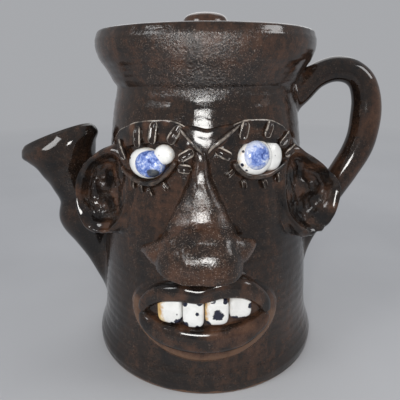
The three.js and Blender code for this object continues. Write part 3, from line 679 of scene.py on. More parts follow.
# Dark glazes: how red, how rough, and how strong the stipple, the blotches and the waves are
glaze = dark_glaze("dark_glaze")
glaze_wall = dark_glaze("dark_glaze_wall", shine_by_haze=True)
glaze_smooth = dark_glaze("dark_glaze_smooth", 0.38, 0.08, 0.02, 0.8, 0.06)
glaze_red = dark_glaze("dark_glaze_thin", 0.6, 0.08, 0.2, 1.0, 0.25)
glaze_nose = dark_glaze("dark_glaze_nose", 0.3, 0.07, 0.8, 0.35, 0.3)
glaze_face = dark_glaze("dark_glaze_face", 0.28, 0.08, 0.06, 0.6, 0.14)
white = white_glaze("white_glaze")
white_specked = white_glaze("white_glaze_specked", dark_share=2.6)
blue = blue_glaze("blue_glaze")

# Objects


def linked(name, data):
    obj = bpy.data.objects.new(name, data)
    bpy.context.collection.objects.link(obj)
    return obj


def new_object(name, points, faces):
    mesh = bpy.data.meshes.new(name)
    mesh.from_pydata(np.asarray(points).tolist(), [], faces)
    return linked(name, mesh)


def add_piece(name, node, points, faces, material, slot="dark_glaze", body="pot", angle=40, **marks):
    """Makes an object from points in millimetres, smooth-shaded, riding on its body"""
    obj = new_object(name, points * MM, faces)
    mesh = obj.data
    mesh.materials.append(material)
    for key, values in marks.items():
        layer = mesh.attributes.new(key, "FLOAT", "POINT")
        layer.data.foreach_set("value", np.asarray(values, np.float32))
    mesh.shade_smooth()
    mesh.set_sharp_from_angle(angle=radians(angle))
    mesh.update()
    if node:
        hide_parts(node)
    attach(obj, body)


def glazed(node, *args, **settings):
    """A piece that is named after the one node that it replaces"""
    add_piece(f"{node}_glazed", node, *args, **settings)


def changed(points, faces, *modifiers):
    """The points and faces that a net in millimetres has after modifiers"""
    obj = new_object("net", points, faces)
    for kind, settings in modifiers:
        modifier = obj.modifiers.new(kind.lower(), kind)
        for key, value in settings.items():
            setattr(modifier, key, value)
    mesh = bpy.data.meshes.new_from_object(obj.evaluated_get(bpy.context.evaluated_depsgraph_get()))
    points = np.array([corner.co for corner in mesh.vertices], float)
    faces = [list(face.vertices) for face in mesh.polygons]
    for spent in (obj.data, mesh):
        bpy.data.meshes.remove(spent)
    return points, faces


# Jug, lid and knob

gallery_height = rim_height - gallery_drop
throat_radius = neck_radius - wall_thickness
gallery_radius = throat_radius + gallery_width
lid_radius = gallery_radius - lid_clearance
lid_underside = gallery_height + lid_gap
lid_top = lid_underside + lid_thickness
knob_foot = lid_top + lid_crown


def rounded(profile, radius, steps):
    """A profile with its inner corners rounded by arcs of about the given size"""
    profile = np.asarray(profile, float)
    line = [profile[0]]
    for before, corner, after in zip(profile, profile[1:], profile[2:]):
        back, ahead = before - corner, after - corner
        long_back, long_ahead = norm(back), norm(ahead)
        reach = min(radius, long_back * 0.45, long_ahead * 0.45)
        a, b = corner + back / long_back * reach, corner + ahead / long_ahead * reach
        for t in np.linspace(0, 1, steps):
            line.append((1 - t) ** 2 * a + 2 * t * (1 - t) * corner + t**2 * b)
    line.append(profile[-1])
    return np.array(line)


def divided(profile, longest):
    """The same profile with no span longer than a given length"""
    line = [profile[0]]
    for a, b in zip(profile, profile[1:]):
        spans = max(1, int(ceil(norm(b - a) / longest)))
        line += [a + (b - a) * k / spans for k in range(1, spans + 1)]
    return np.array(line)


def lathe(profile, around):
    """A turned skin. The profile starts and ends on the axis"""
    turn = circle(around)
    rings = [
        np.stack([radius * np.cos(turn), radius * np.sin(turn), np.full(around, height)], axis=1)
        for radius, height in profile[1:-1]
    ]
    return ring_net(rings, poles=[(0, 0, profile[0][1]), (0, 0, profile[-1][1])])


def thrown(points, seed):
    """The faint rings and the slow unevenness that hands leave on a turned wall"""
    climb = points[:, 2] * 2 * pi / throwing_ring_spacing
    turn = np.arctan2(points[:, 1], points[:, 0])
    rings = np.sin(climb + 0.7 * np.sin(turn + seed)) * 0.5
    rings += np.sin(climb * 2 + 1.3 * np.sin(2 * turn)) * 0.25
    slow = lumps(points, 55, seed) * 0.5
    wide = smooth_step(12, 40, reach_of(points))
    return push_round(points, throwing_ring_height * wide * (rings + slow))


def jug_piece():
    lip = [
        ((collar_radius + lip_radius) * HALF + lip_rise * 0.2, rim_height - lip_rise * 0.25),
        (lip_radius, rim_height),
        (lip_radius - lip_thickness * HALF, rim_height - lip_rise * 0.25),
        (gallery_radius + lid_clearance, rim_height - lip_rise),
        (gallery_radius, gallery_height),
        (throat_radius, gallery_height),
        (throat_radius, neck_height),
    ]
    inside = [
        (r - wall_thickness, z)
        for r, z in wall_line
        if floor_thickness + ankle[1] < z < neck_height - 1
    ][::-1]
    floor_radius = ankle[0] - wall_thickness
    floor = [
        (floor_radius, floor_thickness + floor_round),
        (floor_radius - floor_round * 0.3, floor_thickness + floor_round * 0.3),
        (floor_radius - floor_round, floor_thickness),
    ]
    stride = 9
    outline = [*wall_line[:2], *wall_line[2::stride], *lip, *inside[::stride], *floor]
    outline = np.vstack([[0, 0], rounded(outline, corner_round, 4), [0, floor_thickness]])
    points, faces = lathe(divided(outline, 2.0), 256)
    # The hole from the jug into the spout
    inlet = [spout_inlet, thin_station(spout_root), thin_station(spout_belly)]
    cutter = new_object("inlet_cut", *ring_net(limb_rings(inlet, -1, 24, 24)))
    cut = {"operation": "DIFFERENCE", "object": cutter, "solver": "EXACT"}
    points, faces = changed(thrown(points, 3), faces, ("BOOLEAN", cut))
    bpy.data.meshes.remove(cutter.data)
    reach, height = reach_of(points), points[:, 2]
    # The collar swells on its outside
    outer = smooth_step(-2.4, -1.2, reach - wall_radius(height))
    fuller = within(neck_height + 8, rim_height - 14, rim_height - 9, rim_height - 1, height)
    points = push_round(points, collar_bulge * fuller * outer)
    # Bare clay at the foot, thin glaze on the collar, and a stippled haze on its front, where pale specks are
    # also painted as a stippled highlight
    bare = smooth_step(bare_foot_height, bare_foot_height * HALF, height + 0.3 * lumps(points, 9, 7)) * 0.9
    collar = within(neck_height + 4, neck_height + 12, rim_height - 9, rim_height - 3, height)
    runs = 0.05 * lumps(points * np.array([1, 1, 0.3]), 7, 11)
    thin = np.maximum(bare, collar * (reach > neck_radius) * (0.03 + runs))
    front = np.exp(-(((points[:, 0] + 3) / 26) ** 2)) * (points[:, 1] < 0)
    front *= within(neck_height - 8.5, neck_height + 3.5, rim_height - 8, rim_height - 2, height)
    add_piece("jug_wall", "jug_body", points, faces, glaze_wall, thin=thin, speck=0.9 * front, haze=front)


def lid_piece():
    skirt_radius = throat_radius - lid_clearance
    skirt_inside = skirt_radius - lid_skirt_thickness
    skirt_foot = lid_underside - lid_skirt_depth
    outline = rounded([
        (0, lid_underside + lid_crown),
        (knob_radius, lid_underside + lid_crown),
        (skirt_inside, lid_underside),
        (skirt_inside, skirt_foot),
        (skirt_radius, skirt_foot),
        (skirt_radius, lid_underside),
        (lid_radius, lid_underside),
        (lid_radius, lid_top),
        ((lid_radius + knob_radius) * HALF, lid_top + lid_crown * 0.62),
        (knob_radius, knob_foot - 0.2),
        (0, knob_foot),
    ], lid_round, 5)
    points, faces = lathe(divided(outline, 1.8), 192)
    reach = reach_of(points)
    top = smooth_step(lid_underside + 2, lid_top, points[:, 2])
    top *= smooth_step(lid_radius, lid_radius - 4, reach)
    points[:, 2] -= lid_ring_depth * top * (1 + np.sin(reach * 2 * pi / lid_ring_spacing))
    glazed("lid", points, faces, glaze, body="lid", thin=np.full(len(points), 0.12))


def knob_piece():
    head_shares = [(0.62, 0.1), (0.92, 0.28), (1, 0.44), (0.97, 0.64), (0.86, 0.83), (0.54, 0.965), (0, 1)]
    head_foot = knob_foot + knob_stem_height
    outline = catmull([
        (knob_stem_radius + 1.6, knob_foot - knob_root),
        (knob_stem_radius + 0.2, knob_foot + 1.2),
        (knob_stem_radius, knob_foot + 2.4),
        *[(knob_radius * out, head_foot + knob_head_height * up) for out, up in head_shares],
    ], np.linspace(0, 1, 60))
    points, faces = lathe(np.vstack([[0, knob_foot - knob_root], outline]), 96)
    points = push_round(points, 0.12 * lumps(points, 16, 21))
    add_piece("knob_glazed", "lid_knob", points, faces, glaze, body="lid", thin=np.full(len(points), 0.15))


# Spout and handle


def thin_station(station, less=spout_wall):
    return (*station[:2], station[2] - less, station[3] - less)


def limb_rings(stations, side, around, along):
    """Rings of a rod in the plane of the pot's axis, on its left (-1) or right (1)"""
    stations = np.asarray(stations, float)
    centres = np.stack([side * stations[:, 0], np.zeros(len(stations)), stations[:, 1]], axis=1)
    return rod_rings(centres, stations[:, 2:4], around, along, front=(0, 1, 0))


def spout_piece():
    around, along = 72, 90
    outside = [
        spout_tail,
        part_way(spout_tail, spout_root, *[HALF] * 4),
        spout_root,
        part_way(spout_root, spout_belly, *[HALF] * 4),
        spout_belly,
        spout_throat,
        *[(*part_way(spout_throat, spout_mouth, place, place, size), width)
          for place, size, width in spout_trumpet],
        thin_station(spout_mouth, spout_curl),
    ]
    inside = [*map(thin_station, outside[:-1]), thin_station(spout_mouth, spout_lip)]
    outer, inner = limb_rings(outside, -1, around, along), limb_rings(inside, -1, around, along)
    middle = (outer[-1] + inner[-1]) * HALF
    lean = np.subtract(spout_mouth[:2], spout_throat[:2])
    ahead = np.array([-lean[0], 0, lean[1]]) / norm(lean)
    lip = [
        middle + (outer[-1] - middle) * cos(turn) + ahead * spout_lip_rise * sin(turn)
        for turn in np.linspace(0, pi, 9)[1:-1]
    ]
    rings = np.concatenate([outer, lip, inner[::-1]])
    # The rings round the lip are softened into each other
    first, last, softenings = along - 5, along + 12, 8
    for _ in range(softenings):
        beside = rings[first - 1:last - 1] + rings[first + 1:last + 1]
        rings[first:last] = rings[first:last] * HALF + beside / 4
    points, faces = ring_net(rings, wrapped=True)
    skin = points[:along * around]
    by_hand = 0.2 * lumps(skin, 30, 31) + 0.5 * lumps(skin, 19, 36) * smooth_step(95, 125, skin[:, 2])
    skin += by_hand[:, None] * away_from_axis(skin + [spout_middle, 0, 0])
    # The mouth tilts, and its lip rolls out
    by_mouth = smooth_step(spout_throat[1] + 8, spout_mouth[1] + 3, points[:, 2])
    side = np.clip(-points[:, 1] / spout_mouth[3], -1, 1)
    points[:, 2] += by_mouth * np.where(side > 0, spout_near_rise, spout_far_drop) * side
    points[:, 2] += by_mouth * spout_tilt * np.clip((points[:, 0] + spout_mouth[0]) / spout_mouth[2], -1, 1)
    rolled = np.append(smooth_step(0.9, 0.985, np.linspace(0, 1, along)), np.zeros(len(rings) - along))
    points = raised(points, faces, spout_roll * np.repeat(rolled, around))
    points = settled(points, faces, limb_join, limb_depth)
    glazed("spout", points, faces, glaze_smooth, thin=thinness(points, "spout", 33))


def handle_piece():
    stations = [handle_root]
    for start, end, bends in (
        (handle_root, handle_top, [(0.28, 0.36), (0.62, 0.81)]),
        (handle_top, handle_outer, [(0.45, 0.04), (0.76, 0.22), (0.94, 0.56)]),
        (handle_outer, handle_foot, [(0.03, 0.17), (0.155, 0.34), (0.34, 0.5), (0.56, 0.66), (0.8, 0.84)]),
        (handle_foot, handle_tail, [(0.65, 0.4)]),
    ):
        stations += [part_way(start, end, out, up, up) for out, up in bends] + [end]
    rings = limb_rings([(reach, height, radius, radius) for reach, height, radius in stations], 1, 56, 220)
    points, faces = ring_net(rings)
    points = handled(sunk(points, limb_depth), faces, "handle", 41, less=0.05)
    points = sunk(melted(points, faces, limb_join), limb_depth)
    glazed("handle", points, faces, glaze_smooth, thin=thinness(points, "handle", 43))


# Ears

# Rings from the bowl's middle out over the rim and round to the back: share of the outline,
# of the bowl's depth, of the rim's rise and of the back's depth
ear_rings = np.array([
    (0, 1, 0, 0), (0.24, 1, 0, 0), (0.44, 0.97, 0, 0), (0.58, 0.86, 0.02, 0), (0.68, 0.58, 0.12, 0),
    (0.76, 0.26, 0.46, 0), (0.83, 0.06, 0.82, 0), (0.89, 0, 1, 0), (0.94, 0, 0.84, 0), (0.98, 0, 0.42, 0.02),
    (1, 0, 0, 0.12), (0.93, 0, 0, 0.5), (0.62, 0, 0, 0.9), (0, 0, 0, 1),
])
# Ears: side, reach, height, half width, half height, seed, and the outline in shares of its half sizes
ears = {
    "left_ear": (-1, 61, 117.5, 21.5, 27, 51, [
        (1.06, 0), (0.96, 0.4), (0.62, 0.74), (0.18, 0.95), (-0.3, 1.02), (-0.75, 0.72),
        (-0.9, 0.1), (-0.78, -0.45), (-0.5, -0.84), (0.05, -1), (0.6, -0.92), (0.95, -0.55),
    ]),
    "right_ear": (1, 62.5, 118.5, 22.5, 30, 61, [
        (1.1, -0.04), (0.84, 0.28), (0.42, 0.54), (0.02, 0.74), (-0.38, 0.92), (-0.76, 0.82),
        (-0.98, 0.3), (-0.94, -0.3), (-0.66, -0.76), (-0.1, -0.98), (0.48, -0.86), (0.9, -0.56),
    ]),
}


def ear_piece(node, side, reach, height, half_width, half_height, seed, shares):
    around, steps = 96, 90
    turn = circle(around)
    outline = catmull([(a * half_width, b * half_height) for a, b in shares], turn / (2 * pi), True)
    middle = np.array([side * reach, -ear_forward, height])
    face = np.array([side * sin(ear_facing), -cos(ear_facing), 0])
    outward = np.array([side * cos(ear_facing), sin(ear_facing), 0])
    upward = np.array([0, 0, 1])
    along = np.linspace(0, 1, steps)[1:-1]
    inner = (1 - np.cos(turn)) * HALF
    rings = []
    for share, spread, bowl, rim, back in zip(along, *(smooth_table(row, along) for row in ear_rings.T)):
        out, up = outline[:, 0:1] * spread, outline[:, 1:2] * spread
        level = up[:, 0] / half_height
        ridge = np.exp(-(((level - 0.02) / 0.2) ** 2)) * smooth_step(0.74, 0.5, spread) * (share < 0.6)
        lift = rim * ear_rim_rise * (1 - 0.75 * inner) + ear_ridge_rise * ridge
        lift = lift - bowl * ear_bowl_depth - back * ear_back_depth - ear_lean * level
        ring = middle + outward * out + upward * up + face * lift[:, None]
        if back <= 0.02:
            ring = sunk(ring, -lerp(ear_bowl_skin, ear_cheek_skin, rim))
        rings.append(ring)
    points, faces = ring_net(rings)
    bowl = np.append(np.repeat(along < 0.34, around), [True, False])
    foot = smooth_step(height - half_height * 0.5, height - half_height * 0.85, points[:, 2])
    rough = 0.3 * lumps(points, 13, seed) + 0.3 * lumps(points, 5.4, seed + 1) * np.maximum(bowl, foot)
    points = settled(raised(points, faces, rough), faces, ear_join, limb_depth)
    glazed(node, points, faces, glaze_face, thin=thinness(points, "ear", seed + 2), haze=0.14 * bowl)


# Eyes. Places of lids and lashes are shares of the eyes' half span from the lids' middle

eyes = {
    "left": {
        "lids": (-28, 141),
        "ball": (-34.8, 138.8, 11.6, 8.5),
        "iris": (-31.6, 139, 8.5, 7.5),
        "white": (-23.4, 144.4, 5.7, 5.4, 5),
        # Iron spots on the ball: across, height and radius
        "spots": [(-27.2, 134.4, 1.2), (-43.6, 141.2, 0.8)],
        # The iris's stain: place from the iris's middle, size and strength. Then how pale its edge is
        "stain": (4.4, -4.2, 6.2, 1.1),
        "pale": 0.36,
        "upper_lid": [(-2.35, 0.05), (-1.79, 0.56), (-0.87, 0.9), (-0.09, 1.02), (0.6, 1.04), (1.13, 0.82),
                      (1.5, 0.46)],
        "lower_lid": [(-1.75, -0.46), (-1.42, -0.64), (-0.98, -0.8), (-0.44, -0.9), (0.1, -0.74),
                      (0.53, -0.35), (0.8, 0)],
        # Lashes: root and tip
        "upper_lash": {
            "outer": (-1.4, -0.1, -1.92, 0.58),
            "middle_outer": (-0.68, 0.42, -0.74, 1.2),
            "middle_inner": (-0.06, 0.6, 0.02, 1.4),
            "inner": (0.6, 0.66, 0.94, 1.28),
            "corner_upper": (0.94, 0.14, 1.4, 0.42),
            "corner_lower": (0.88, -0.16, 1.34, -0.24),
        },
        "lower_lash": {
            "outer": (-1.08, -0.84, -1.14, -1.2),
            "middle_outer": (-0.7, -0.92, -0.68, -1.28),
            "middle_inner": (-0.35, -1.02, -0.25, -1.36),
            "inner": (0.24, -0.78, 0.44, -1.06),
        },
    },
    "right": {
        "lids": (30, 143),
        "ball": (27.4, 142.4, 10.6, 9.6),
        "iris": (26.4, 143.8, 7.8, 8.1),
        "white": (38.2, 142, 7.4, 8.2, 4.6),
        "spots": [
            (18.6, 146.6, 1.0), (19.8, 143.4, 0.9), (18.2, 139.6, 1.1), (20.6, 136.6, 0.8),
            (22.4, 149.6, 0.9), (20.4, 133.8, 0.9), (25.4, 151.4, 0.8), (32.6, 134.6, 0.8),
        ],
        "stain": (2, 1.5, 2.6, 0.5),
        "pale": 0.8,
        "upper_lid": [(-1.69, 0.4), (-1.35, 0.65), (-0.8, 0.87), (-0.1, 0.92), (0.64, 0.78), (1.3, 0.41),
                      (1.66, -0.04)],
        "lower_lid": [(-1.05, -0.16), (-0.88, -0.42), (-0.54, -0.66), (-0.1, -0.72), (0.36, -0.7),
                      (0.93, -0.5), (1.36, -0.32)],
        "upper_lash": {
            "corner": (-1.17, 0.06, -1.7, 0.34),
            "inner": (-0.82, 0.66, -0.64, 1.28),
            "middle_outer": (0.12, 0.7, 0.4, 1.22),
            "outer": (0.82, 0.36, 1.46, 0.74),
            "corner_outer": (1.1, -0.06, 1.95, 0.17),
        },
        "lower_lash": {
            "inner": (-1.05, -0.42, -1.32, -0.66),
            "middle_inner": (-0.7, -0.78, -0.62, -1.14),
            "middle_outer": (0.14, -0.88, 0.3, -1.24),
            "outer": (0.88, -0.72, 1, -1.1),
        },
    },
}
# Half width, half thickness, points round the section, its power, and how far the foot runs out
lid_sizes = {"upper": (6.2, 2.4, 56, 5.0, 1.2), "lower": (1.8, 2.6, 40, 2.4, 1.6)}
# Half width, half thickness, how proud root and tip stand, and how strongly the edges are painted pale as
# worn glaze and a highlight line
lash_sizes = {"upper": (2.6, 1.25, 3.6, 2.4, 0.85), "lower": (1.4, 1.4, 1.4, 0.7, 0.6)}


def by_eye(eye, out, up, proud):
    across, height = eye["lids"]
    return (across + eye_half_span * out, height + eye_half_span * up, proud)


def eyelid_piece(name, row, seed):
    half_width, half_thickness, around, power, join = lid_sizes[row]
    line = [by_eye(eyes[name], out, up, half_thickness * HALF) for out, up in eyes[name][f"{row}_lid"]]

    def sheet(wide, deep):
        # Thin and crisp along the upper edge, thicker by the eye
        return wide, deep * (0.66 + 0.34 * wide)

    points, faces, wide, deep, _ = band(
        line, half_width, half_thickness, 0.7, around, 90, (0.04, 0.04), power,
        sheet if row == "upper" else None)
    points = settled(handled(points, faces, "eyelid", seed), faces, join)
    if row == "upper":
        # The upper lid's top edge is painted pale as worn glaze and a painted highlight line, the lower lid's
        # edge only faintly
        rim = 0.7 * smooth_step(-0.88, -0.96, wide) * smooth_step(0.2, 0.5, deep)
    else:
        rim = 0.08 * smooth_step(0.85, 0.97, deep)
    glazed(f"{name}_{row}_lid", points, faces, glaze_face, thin=thinness(points, "eyelid", seed + 1), rim=rim)


def lash_piece(name, row, place, shares, seed):
    half_width, half_thickness, root_proud, tip_proud, wear_and_glint = lash_sizes[row]
    root_out, root_up, tip_out, tip_up = shares
    line = [
        by_eye(eyes[name], lerp(root_out, tip_out, along), lerp(root_up, tip_up, along),
               lerp(root_proud, tip_proud, along) + half_thickness * lift)
        for along, lift in [(0, 0), (0.2, 0.3), (0.5, 0.4), (0.8, 0.2), (1, 0)]
    ]

    def hollowed(wide, deep):
        # The strip's face is dished, so that both its edges stand up and catch light
        return wide, deep - 0.62 * np.exp(-((wide / 0.5) ** 4)) * (deep > 0)

    points, faces, wide, deep, along = band(
        line, half_width, half_thickness, 0.8, 48, 48, (0.24, 0.28), 3.6, hollowed)
    points = sunk(handled(points, faces, "lash", seed))
    # Both edges and the tip are painted pale: worn glaze and a painted highlight
    rim = smooth_step(0.62, 0.8, np.abs(wide)) * smooth_step(0.35, 0.75, deep)
    rim = np.maximum(rim, smooth_step(0.93, 0.975, along) * (deep > 0.1))
    glazed(f"{name}_{row}_lash_{place}", points, faces, glaze_face, angle=60, rim=rim * wear_and_glint)


def spotted(points, spots, proud, depth_share=1.0, full=1.0, fall=1.0):
    """How strongly each point is stained by round spots laid on the wall"""
    stain = np.zeros(len(points))
    for across, height, size in spots:
        off = (points - on_wall(across, height, proud)) * [1, depth_share, 1]
        near = norm(off, axis=1)
        stain = np.maximum(stain, np.clip(full - near / size * fall, 0, 1))
    return stain


def eye_pieces(name, ball_glaze, seed):
    eye = eyes[name]
    points, faces, edge = wall_pad(*eye["ball"], eye_rise, crown=0.8)
    stain = spotted(points, eye["spots"], eye_rise * 0.6, 0.4, 1.2, 0.7)
    glazed(f"{name}_eyeball", points, faces, ball_glaze, "white_glaze", edge=edge * 0.55, stain=stain)
    points, faces, edge = wall_pad(*eye["white"], crown=0.8)
    glazed(f"{name}_eye_white", points, faces, white, "white_glaze", edge=edge * 0.5)
    points, faces, edge = wall_pad(*eye["iris"], eye_rise + iris_rise, crown=0.62)
    right, up, size, strength = eye["stain"]
    stain = strength * spotted(points, [(eye["iris"][0] + right, eye["iris"][1] + up, size)], eye_rise)
    glazed(f"{name}_iris", points, faces, blue, "blue_glaze", edge=edge * eye["pale"], stain=stain)
    eyelid_piece(name, "upper", seed)
    eyelid_piece(name, "lower", seed + 10)
    for row in ("upper", "lower"):
        for k, (place, shares) in enumerate(eye[f"{row}_lash"].items()):
            lash_piece(name, row, place, shares, seed + 30 + k)


# Brow

brow_shares = [
    (1, 0.9), (0.5, 0.86), (0, 0.7), (-0.5, 0.86), (-1, 0.75),
    (-0.72, 0.1), (-0.34, -0.6), (0, -1), (0.34, -0.6), (0.74, 0.1),
]
# Folds of clay along the brow pad's two slanting edges: across, height and proud
brow_folds = {
    "brow_fold_left": [(-14.4, 159.5, 2.6), (-10.6, 155.4, 3.6), (-6.4, 150.6, 3.9), (-1.6, 145.4, 3.4)],
    "brow_fold_right": [
        (17.8, 161.2, 2.6), (12.4, 157.4, 3.6), (7.4, 153.4, 3.9), (2.4, 149.2, 3.6), (0.6, 146.2, 3.2),
    ],
}


def brow_pieces():
    points, faces, _ = wall_pad(*brow_pad, crown=0.36, around=80, outline=brow_shares)
    glazed("brow_pad", points, faces, glaze_face, thin=thinness(points, "brow", 71))
    for name, line in brow_folds.items():
        points, faces, _, deep, _ = band(
            line, brow_fold_half_width, brow_fold_half_width, 0.5, 24, 60, (0.1, 0.1), 2.0)
        points = handled(points, faces, "fold", 73)
        # The fold's crest is painted pale: worn glaze and a painted highlight
        add_piece(name, None, points, faces, glaze_face, rim=0.5 * smooth_step(0.8, 1, deep))


# Mouth

# Lips: rise from the mouth's height, half height, seed, and stations along the lip with their share
# of the half span, of the rise and of the thickness
lips = {
    "upper_lip": (19.2, 6.4, 101, [
        (-1, 0, 0), (-0.9, 0.38, 0.5), (-0.66, 0.76, 0.78), (-0.34, 0.9, 0.86), (-0.04, 0.86, 0.86),
        (0.28, 1.04, 0.96), (0.62, 0.94, 0.9), (0.9, 0.44, 0.55), (1, 0, 0),
    ]),
    "lower_lip": (-12, 8, 111, [
        (-1, 0, 0), (-0.9, 0.45, 0.5), (-0.66, 0.84, 0.8), (-0.34, 1, 1), (0, 1.04, 1),
        (0.34, 0.98, 0.96), (0.66, 0.76, 0.78), (0.9, 0.38, 0.5), (1, 0, 0),
    ]),
}
# Teeth from the left: width, length, how strongly amber leans from the left, and dark stains,
# each with its place from the tooth's middle and its size
teeth = {
    "outer_left": (14.4, 17, 1.0, [(5.6, -6.6, 3.0), (1.6, -8.0, 1.6)]),
    "inner_left": (12.2, 18.2, 0.15, [
        (-4.6, -7.2, 2.8), (2.2, -8.6, 1.7), (2.0, 0.5, 1.5), (-4.6, 6.4, 2.0), (3.6, 7.4, 2.2)]),
    "inner_right": (13.4, 16.6, 0.6, [
        (0.6, -1.2, 3.4), (-2.2, 8.0, 2.2), (-5.2, -6.8, 2.4), (4.6, 7.0, 1.8)]),
    "outer_right": (12.8, 13.4, 0.15, [
        (-3.4, -6.2, 2.6), (1.2, -6.8, 2.2), (5.4, 1.0, 2.0), (5.0, 6.2, 1.6)]),
}


def mouth_pad_piece():
    points, faces, edge = wall_pad(*mouth_pad, crown=0.6, around=128, front=30)
    points = melted(points, faces, pad_join)
    up = points[:, 2] - mouth_height
    low = smooth_step(12, -10, up)
    beside = smooth_step(-24, -40, points[:, 0]) * smooth_step(13, 3, up)
    ring = smooth_step(0.74, 0.94, edge) * np.maximum(low, 0.85 * beside)
    glazed("mouth_pad", points, faces, glaze_red, thin=0.02 + 0.6 * ring + 0.08 * lumps(points, 12, 81))


def lip_piece(node, rise, half_height, seed, shares):
    out, up, thick = np.array(shares).T
    centres = on_wall(mouth_across + lip_half_span * out, mouth_height + rise * up, lip_proud)
    halves = np.transpose([lerp(lip_corner_radius, size, thick) for size in (half_height, lip_half_depth)])
    points, faces = ring_net(rod_rings(centres, halves, 48, 140, (0.03, 0.03), 2.6))
    points = settled(handled(points, faces, "lip", seed), faces, lip_join)
    glazed(node, points, faces, glaze_face, thin=thinness(points, "lip", seed + 1))


def tooth_pieces():
    left = teeth_middle_across - teeth["outer_left"][0] - teeth["inner_left"][0]
    for name, (width, length, amber_share, stains) in teeth.items():
        across, height = left + width * HALF, tooth_top_height - length * HALF
        left += width
        points, faces, edge = wall_pad(
            across, height, (width - tooth_gap) * HALF, length * HALF, tooth_rise, crown=0.34, corner=0.5)
        spots = [(across + right, height + up, size) for right, up, size in stains]
        leaning = smooth_step(across, across - width * HALF, points[:, 0])
        glazed(f"tooth_{name}", points, faces, white, "white_glaze",
               edge=np.clip(edge * 0.36 + amber_share * leaning * edge, 0, 1),
               stain=spotted(points, spots, tooth_rise * 0.8, 0.35, 1.25, 0.75))


# Nose

# Stations down the nose: share of its length, of its droop, of its half width and of its depth.
# The bridge runs straight, then the tip swells out and turns under
nose_shares = [
    (0, -0.1, 0, 0), (0.2, 0.08, 0.07, 0.1), (0.42, 0.22, 0.36, 0.24), (0.58, 0.31, 0.6, 0.36),
    (0.7, 0.46, 0.77, 0.46), (0.83, 0.83, 0.92, 0.7), (0.92, 0.97, 0.99, 0.88), (1, 0.88, 1, 1),
]
# Pinched corners of the nose: across, height, proud, half height and half depth of each station
wing_stations = [
    [(-15, 93, 13, 12, 10), (-24, 93.6, 12, 7.4, 6), (-30, 93.4, 10, 3.6, 3.2), (-33.8, 92.2, 8, 1.3, 1.3)],
    [(8, 96, 14, 12, 10), (15.5, 97.2, 13.5, 8, 6.4), (20, 98.4, 12, 4, 3.4), (23.4, 99.2, 9.5, 1.3, 1.3)],
]


def nose_rod():
    down, droop, wide, deep = np.array(nose_shares).T
    centres = on_wall(nose_across, nose_top_height - nose_length * down, nose_droop * droop)
    halves = np.transpose([
        lerp(nose_bridge_half_width, nose_half_width, wide),
        lerp(nose_bridge_depth, nose_tip_depth, deep),
    ])

    def faceted(wide, deep):
        # The crest lies left of the middle, with a low ridge down the right side
        front = deep > 0
        moved = wide - 0.16 * (1 - wide**2) * front
        pressed = 0.05 * np.exp(-(((moved + 0.16) / 0.3) ** 2)) * front
        ridge = 0.03 * np.exp(-(((moved - 0.3) / 0.07) ** 2)) * front
        return moved, deep - pressed + ridge

    return ring_net(rod_rings(centres, halves, 96, 110, (0.02, 0.05), 2.12, faceted))


def wing_rod(stations):
    stations = np.array(stations)
    return ring_net(rod_rings(on_wall(*stations[:, :3].T), stations[:, 3:5], 40, 50, (0, 0.04), 1.7))


def nose_piece():
    parts, faces, start = [], [], 0
    for part, part_faces in (nose_rod(), *map(wing_rod, wing_stations)):
        parts.append(part)
        faces += [[start + k for k in face] for face in part_faces]
        start += len(part)
    joined = ("REMESH", {"mode": "VOXEL", "voxel_size": nose_grain})
    points, faces = changed(np.vstack(parts), faces, joined, ("SMOOTH", {"factor": 0.5, "iterations": 5}))
    points = handled(sunk(points), faces, "nose", 91)
    points = sunk(melted(points, faces, nose_join))
    front = smooth_step(-60, -75, points[:, 1])
    # Pale specks on the nose's front: real specks and partly a painted stippled highlight
    glazed("nose", points, faces, glaze_nose, thin=thinness(points, "nose", 92),
           speck=0.55 * front, haze=0.15 * front)


# Assembly

jug_piece()
lid_piece()
knob_piece()
spout_piece()
handle_piece()
for ear, values in ears.items():
    ear_piece(ear, *values)
brow_pieces()
nose_piece()
mouth_pad_piece()
for lip, values in lips.items():
    lip_piece(lip, *values)
tooth_pieces()
eye_pieces("left", white, 200)
eye_pieces("right", white_specked, 300)

# Stage, light and camera, in metres, but the camera's place in millimetres

backdrop = (0.385, 0.393, 0.41)
floor_colours = (0.3, (0.43, 0.435, 0.45)), (0.7, (0.47, 0.475, 0.49))
floor_reach = 4.0
room_light = (0.86, 0.89, 0.95)
room_strength = 0.4
camera_place = (-3.7, -274.5, 187.6)
camera_pitch = radians(17.85)
camera_roll = radians(-0.17)
camera_lens = camera_sensor = 36
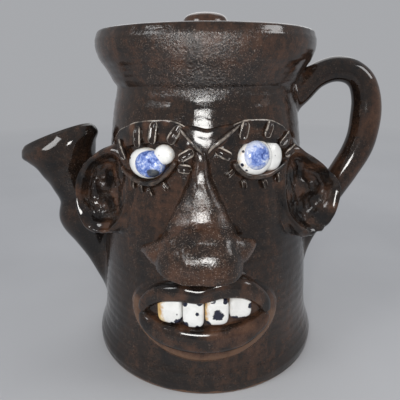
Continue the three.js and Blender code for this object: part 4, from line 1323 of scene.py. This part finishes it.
# Place, aim, size, power and colour
neutral, warm = (1, 1, 1), (1, 0.985, 0.96)
lamps = {
    "front_soft": ((-0.024, -0.332, 0.22), (0, 0, 0.12), 0.09, 0.68, warm),
    "left_soft": ((-0.8, -0.55, 0.8), (0, 0, 0.1), 0.34, 3.2, neutral),
    "right_soft": ((0.9, -0.25, 0.75), (0, 0, 0.1), 0.34, 2.4, neutral),
    "back_soft": ((0.1, 0.85, 0.9), (0, 0, 0.12), 1.1, 4.5, neutral),
}


def stage():
    """A wide pale floor that turns into the backdrop's colour far from the pot"""
    corners = [(x * floor_reach, y * floor_reach, 0) for x, y in ((-1, -1), (1, -1), (1, 1), (-1, 1))]
    floor = new_object("floor", corners, [(0, 1, 2, 3)])
    nodes = Nodes(bpy.data.materials.new("pale_floor"))
    nodes.surface({"Base Color": nodes.ramp(nodes.noise(6), *floor_colours), "Roughness": 0.75})
    far = nodes.new("VectorMath", "Value", {0: nodes.place}, operation="LENGTH")
    share = nodes.math("MULTIPLY", nodes.range(far, 0.3, 1.3, 0, 1), nodes.seen())
    out = nodes.tree.nodes["Material Output"]
    nodes.blend(share, nodes.shader.outputs[0], nodes.glow("Emission", backdrop), out)
    floor.data.materials.append(nodes.owner)


def world():
    room = bpy.data.worlds.new("pale_room")
    bpy.context.scene.world = room
    nodes = Nodes(room)
    nodes.tree.nodes.clear()
    light = nodes.glow("Background", room_light, room_strength)
    shown = nodes.glow("Background", backdrop)
    nodes.blend(nodes.seen(), light, shown, nodes.tree.nodes.new("ShaderNodeOutputWorld"))


def lamp(name, place, aim, size, power, colour):
    data = bpy.data.lights.new(name, "AREA")
    data.shape = "SQUARE"
    data.size = size
    data.energy = power
    data.color = colour
    obj = linked(name, data)
    obj.location = place
    obj.rotation_euler = (Vector(aim) - Vector(place)).to_track_quat("-Z", "Y").to_euler()


def camera():
    data = bpy.data.cameras.new("camera")
    data.sensor_width = camera_sensor
    data.lens = camera_lens
    data.clip_start = 0.01
    obj = linked("camera", data)
    tilt = Matrix.Rotation(pi / 2 - camera_pitch, 4, "X") @ Matrix.Rotation(camera_roll, 4, "Z")
    obj.matrix_world = Matrix.Translation(Vector(camera_place) * MM) @ tilt
    bpy.context.scene.camera = obj


stage()
world()
camera()
for lamp_name, values in lamps.items():
    lamp(lamp_name, *values)

bpy.context.scene.view_settings.view_transform = "Standard"
